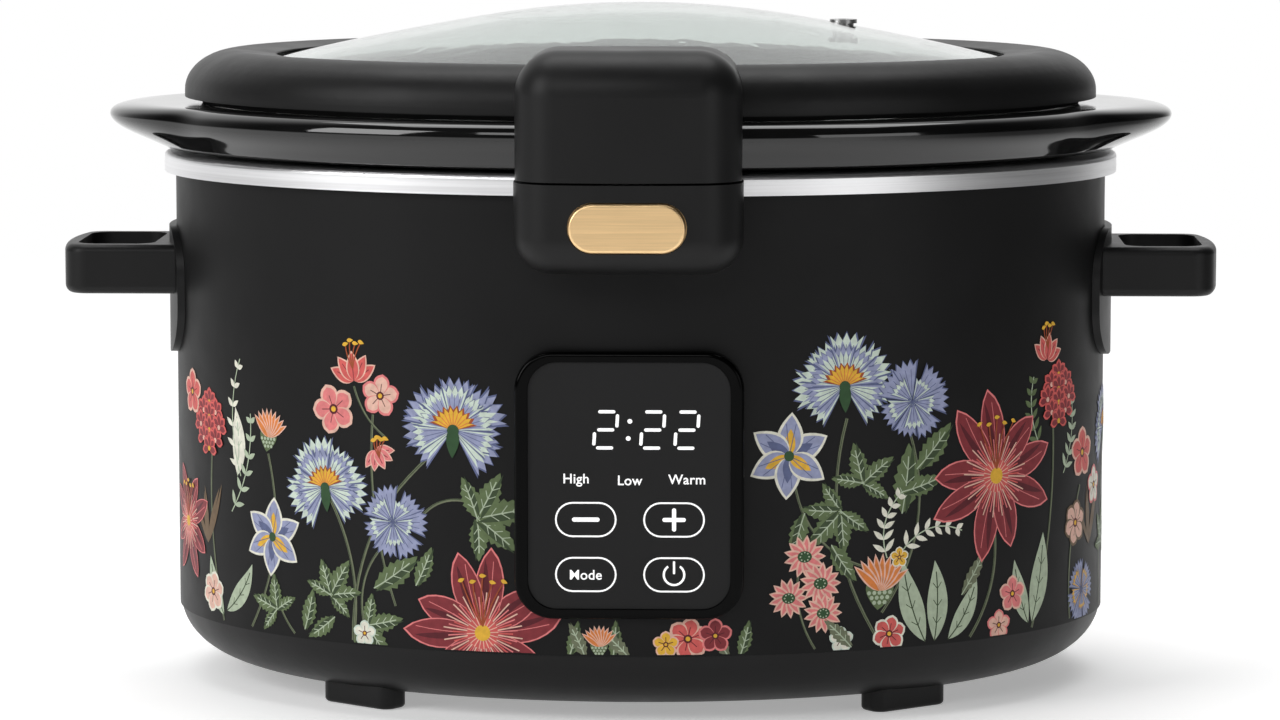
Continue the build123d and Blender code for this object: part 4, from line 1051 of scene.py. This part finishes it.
def power_sign(x, y):
    """A ring open at the top, with an upright stroke through the opening."""
    start = 90 + POWER_OPENING / 2
    ring = arc_stroke((x, y), POWER_RADIUS, start, start + 360 - POWER_OPENING, POWER_STROKE)
    low, high = POWER_BAR
    return [bar((x, y + low), (x, y + high), POWER_STROKE)] + ring


def add_legends():
    """The clock reading, the four key frames with their signs, and the function words."""
    white = glowing_print()
    digits = [part for middle in DIGIT_PLACES for part in digit(middle)]
    panel_piece("clock_digits", digits + colon(), white)
    panel_piece("key_frames", [quad for place in KEY_PLACES for quad in key_ring(place)], white)
    minus, plus, _, power = KEY_PLACES
    panel_piece("key_signs", minus_sign(*minus) + plus_sign(*plus) + power_sign(*power), white)
    for text, across, up in WORDS:
        add_word(text, (across, up), white)


def dress_nodes():
    """Give every CAD node the material of its slot."""
    for row in frame["record"]["subparts"]:
        mesh = frame["nodes"][row["node"]].data
        mesh.materials.clear()
        mesh.materials.append(MATERIALS[row["material_slot"]])


dress_nodes()
add_crock()
add_print()
add_legends()

# ---- Studio --------------------------------------------------------------------------------
CAMERA_BACK = 1.915
CAMERA_HEIGHT = 0.3375
CAMERA_ROUND = math.radians(1.64)
CAMERA_DOWN = math.radians(6.5)
LENS = 140.3
SENSOR_WIDTH = 36
FLOOR_SOLID = 0.28
FLOOR_FADED = 0.75
FLOOR_GLOW = 0.35
FLOOR_DROP = 0.0002
SURROUND_FRONT = 0.04
SURROUND_BACK = 1.0
SURROUND_RIGHT = 0.08
SURROUND_LEFT = 0.35
SURROUND_BELOW = 1.1    # the pale table beyond the floor, as the cooker's front sees it
BELOW_RIGHT = 0.2
# Where each change of the surround starts and ends, as a share of the direction along its axis.
BACK_SPAN = (-0.1, 0.6)
RIGHT_SPAN = (0.70, 0.20)
LEFT_SPAN = (-0.98, -0.6)
BELOW_SPAN = (0.03, -0.12)
BELOW_RIGHT_SPAN = (1.0, 0.6)
# Each light is a name, a place, a target, a size and a power.
LIGHTS = (
    ("key", (-1.9, -1.3, 1.1), (0, 0, 0.12), (1.0, 1.4), 24),
    ("front", (-0.55, -2.3, 1.5), (0, 0, 0.12), (1.5, 0.8), 12),
    ("top", (0.0, 0.3, 2.2), (0, 0, 0.2), (2.2, 1.2), 30),
    ("fill", (1.6, -1.7, 0.5), (0, 0, 0.12), (0.9, 0.7), 4),
)


def add_camera():
    data = bpy.data.cameras.new("camera")
    data.lens = LENS
    data.sensor_width = SENSOR_WIDTH
    data.clip_end = 50
    camera = bpy.data.objects.new("camera", data)
    x = CAMERA_BACK * math.sin(CAMERA_ROUND)
    y = -CAMERA_BACK * math.cos(CAMERA_ROUND)
    camera.location = (x, y, CAMERA_HEIGHT)
    camera.rotation_euler = (math.pi / 2 - CAMERA_DOWN, 0, CAMERA_ROUND)
    bpy.context.scene.collection.objects.link(camera)
    bpy.context.scene.camera = camera


def add_softbox(name, place, target, size, power):
    data = bpy.data.lights.new(name, "AREA")
    data.shape = "RECTANGLE"
    data.size, data.size_y = size
    data.energy = power
    light = bpy.data.objects.new(name, data)
    light.location = place
    light.rotation_euler = (Vector(target) - Vector(place)).to_track_quat("-Z", "Y").to_euler()
    bpy.context.scene.collection.objects.link(light)


def add_floor():
    """Pale table top that fades into the white surround."""
    mesh = bpy.data.meshes.new("floor")
    quarters = ((-1, -1), (1, -1), (1, 1), (-1, 1))
    corners = [(x * FLOOR_FADED, y * FLOOR_FADED, -FLOOR_DROP) for x, y in quarters]
    mesh.from_pydata(corners, [], [(0, 1, 2, 3)])
    floor = bpy.data.objects.new("floor", mesh)
    bpy.context.scene.collection.objects.link(floor)
    g = Graph("floor_paper")
    g.link(g.blend(g.noise(3), (0.90, 0.90, 0.90), (0.93, 0.93, 0.93)), g.shader.inputs["Base Color"])
    away = g.node("VectorMath", operation="LENGTH")
    g.link(g.coords(), away.inputs[0])
    g.link(g.remap(away.outputs["Value"], 1.0, 0.0, FLOOR_SOLID, FLOOR_FADED), g.shader.inputs["Alpha"])
    g.set(Roughness=0.9, Emission_Color=(1, 1, 1, 1), Emission_Strength=FLOOR_GLOW)
    mesh.materials.append(g.material)


class Surround:
    """The world's light as a function of direction."""

    def __init__(self, tree):
        self.tree = tree
        coords = tree.nodes.new("ShaderNodeTexCoord")
        self.axes = tree.nodes.new("ShaderNodeSeparateXYZ")
        tree.links.new(coords.outputs["Generated"], self.axes.inputs[0])

    def graded(self, axis, start, end, low, high):
        """From low to high as the direction's share along an axis goes from start to end."""
        band = self.tree.nodes.new("ShaderNodeMapRange")
        band.interpolation_type = "SMOOTHSTEP"
        for name, value in (("From Min", start), ("From Max", end), ("To Min", low), ("To Max", high)):
            band.inputs[name].default_value = value
        self.tree.links.new(self.axes.outputs[axis], band.inputs["Value"])
        return band.outputs["Result"]

    def joined(self, operation, first, second):
        made = self.tree.nodes.new("ShaderNodeMath")
        made.operation = operation
        self.tree.links.new(first, made.inputs[0])
        self.tree.links.new(second, made.inputs[1])
        return made.outputs[0]


def add_world():
    """White to look at; as a light it is bright behind, pale just below level, and dim in front."""
    world = bpy.data.worlds.new("surround")
    bpy.context.scene.world = world
    world.use_nodes = True
    tree = world.node_tree
    light = Surround(tree)
    behind = light.graded("Y", *BACK_SPAN, SURROUND_FRONT, SURROUND_BACK)
    behind = light.joined("MULTIPLY", behind, light.graded("X", *RIGHT_SPAN, SURROUND_RIGHT, 1))
    behind = light.joined("MULTIPLY", behind, light.graded("X", *LEFT_SPAN, SURROUND_LEFT, 1))
    below = light.graded("Z", *BELOW_SPAN, 0, SURROUND_BELOW)
    below = light.joined("MULTIPLY", below, light.graded("X", *BELOW_RIGHT_SPAN, BELOW_RIGHT, 1))
    around = light.joined("MAXIMUM", behind, below)
    path = tree.nodes.new("ShaderNodeLightPath")
    strength = light.joined("MAXIMUM", around, path.outputs["Is Camera Ray"])
    background = tree.nodes["Background"]
    tree.links.new(strength, background.inputs["Strength"])
    background.inputs["Color"].default_value = (1, 1, 1, 1)


add_camera()
add_floor()
add_world()
for light in LIGHTS:
    add_softbox(*light)
bpy.context.scene.view_settings.view_transform = "Standard"
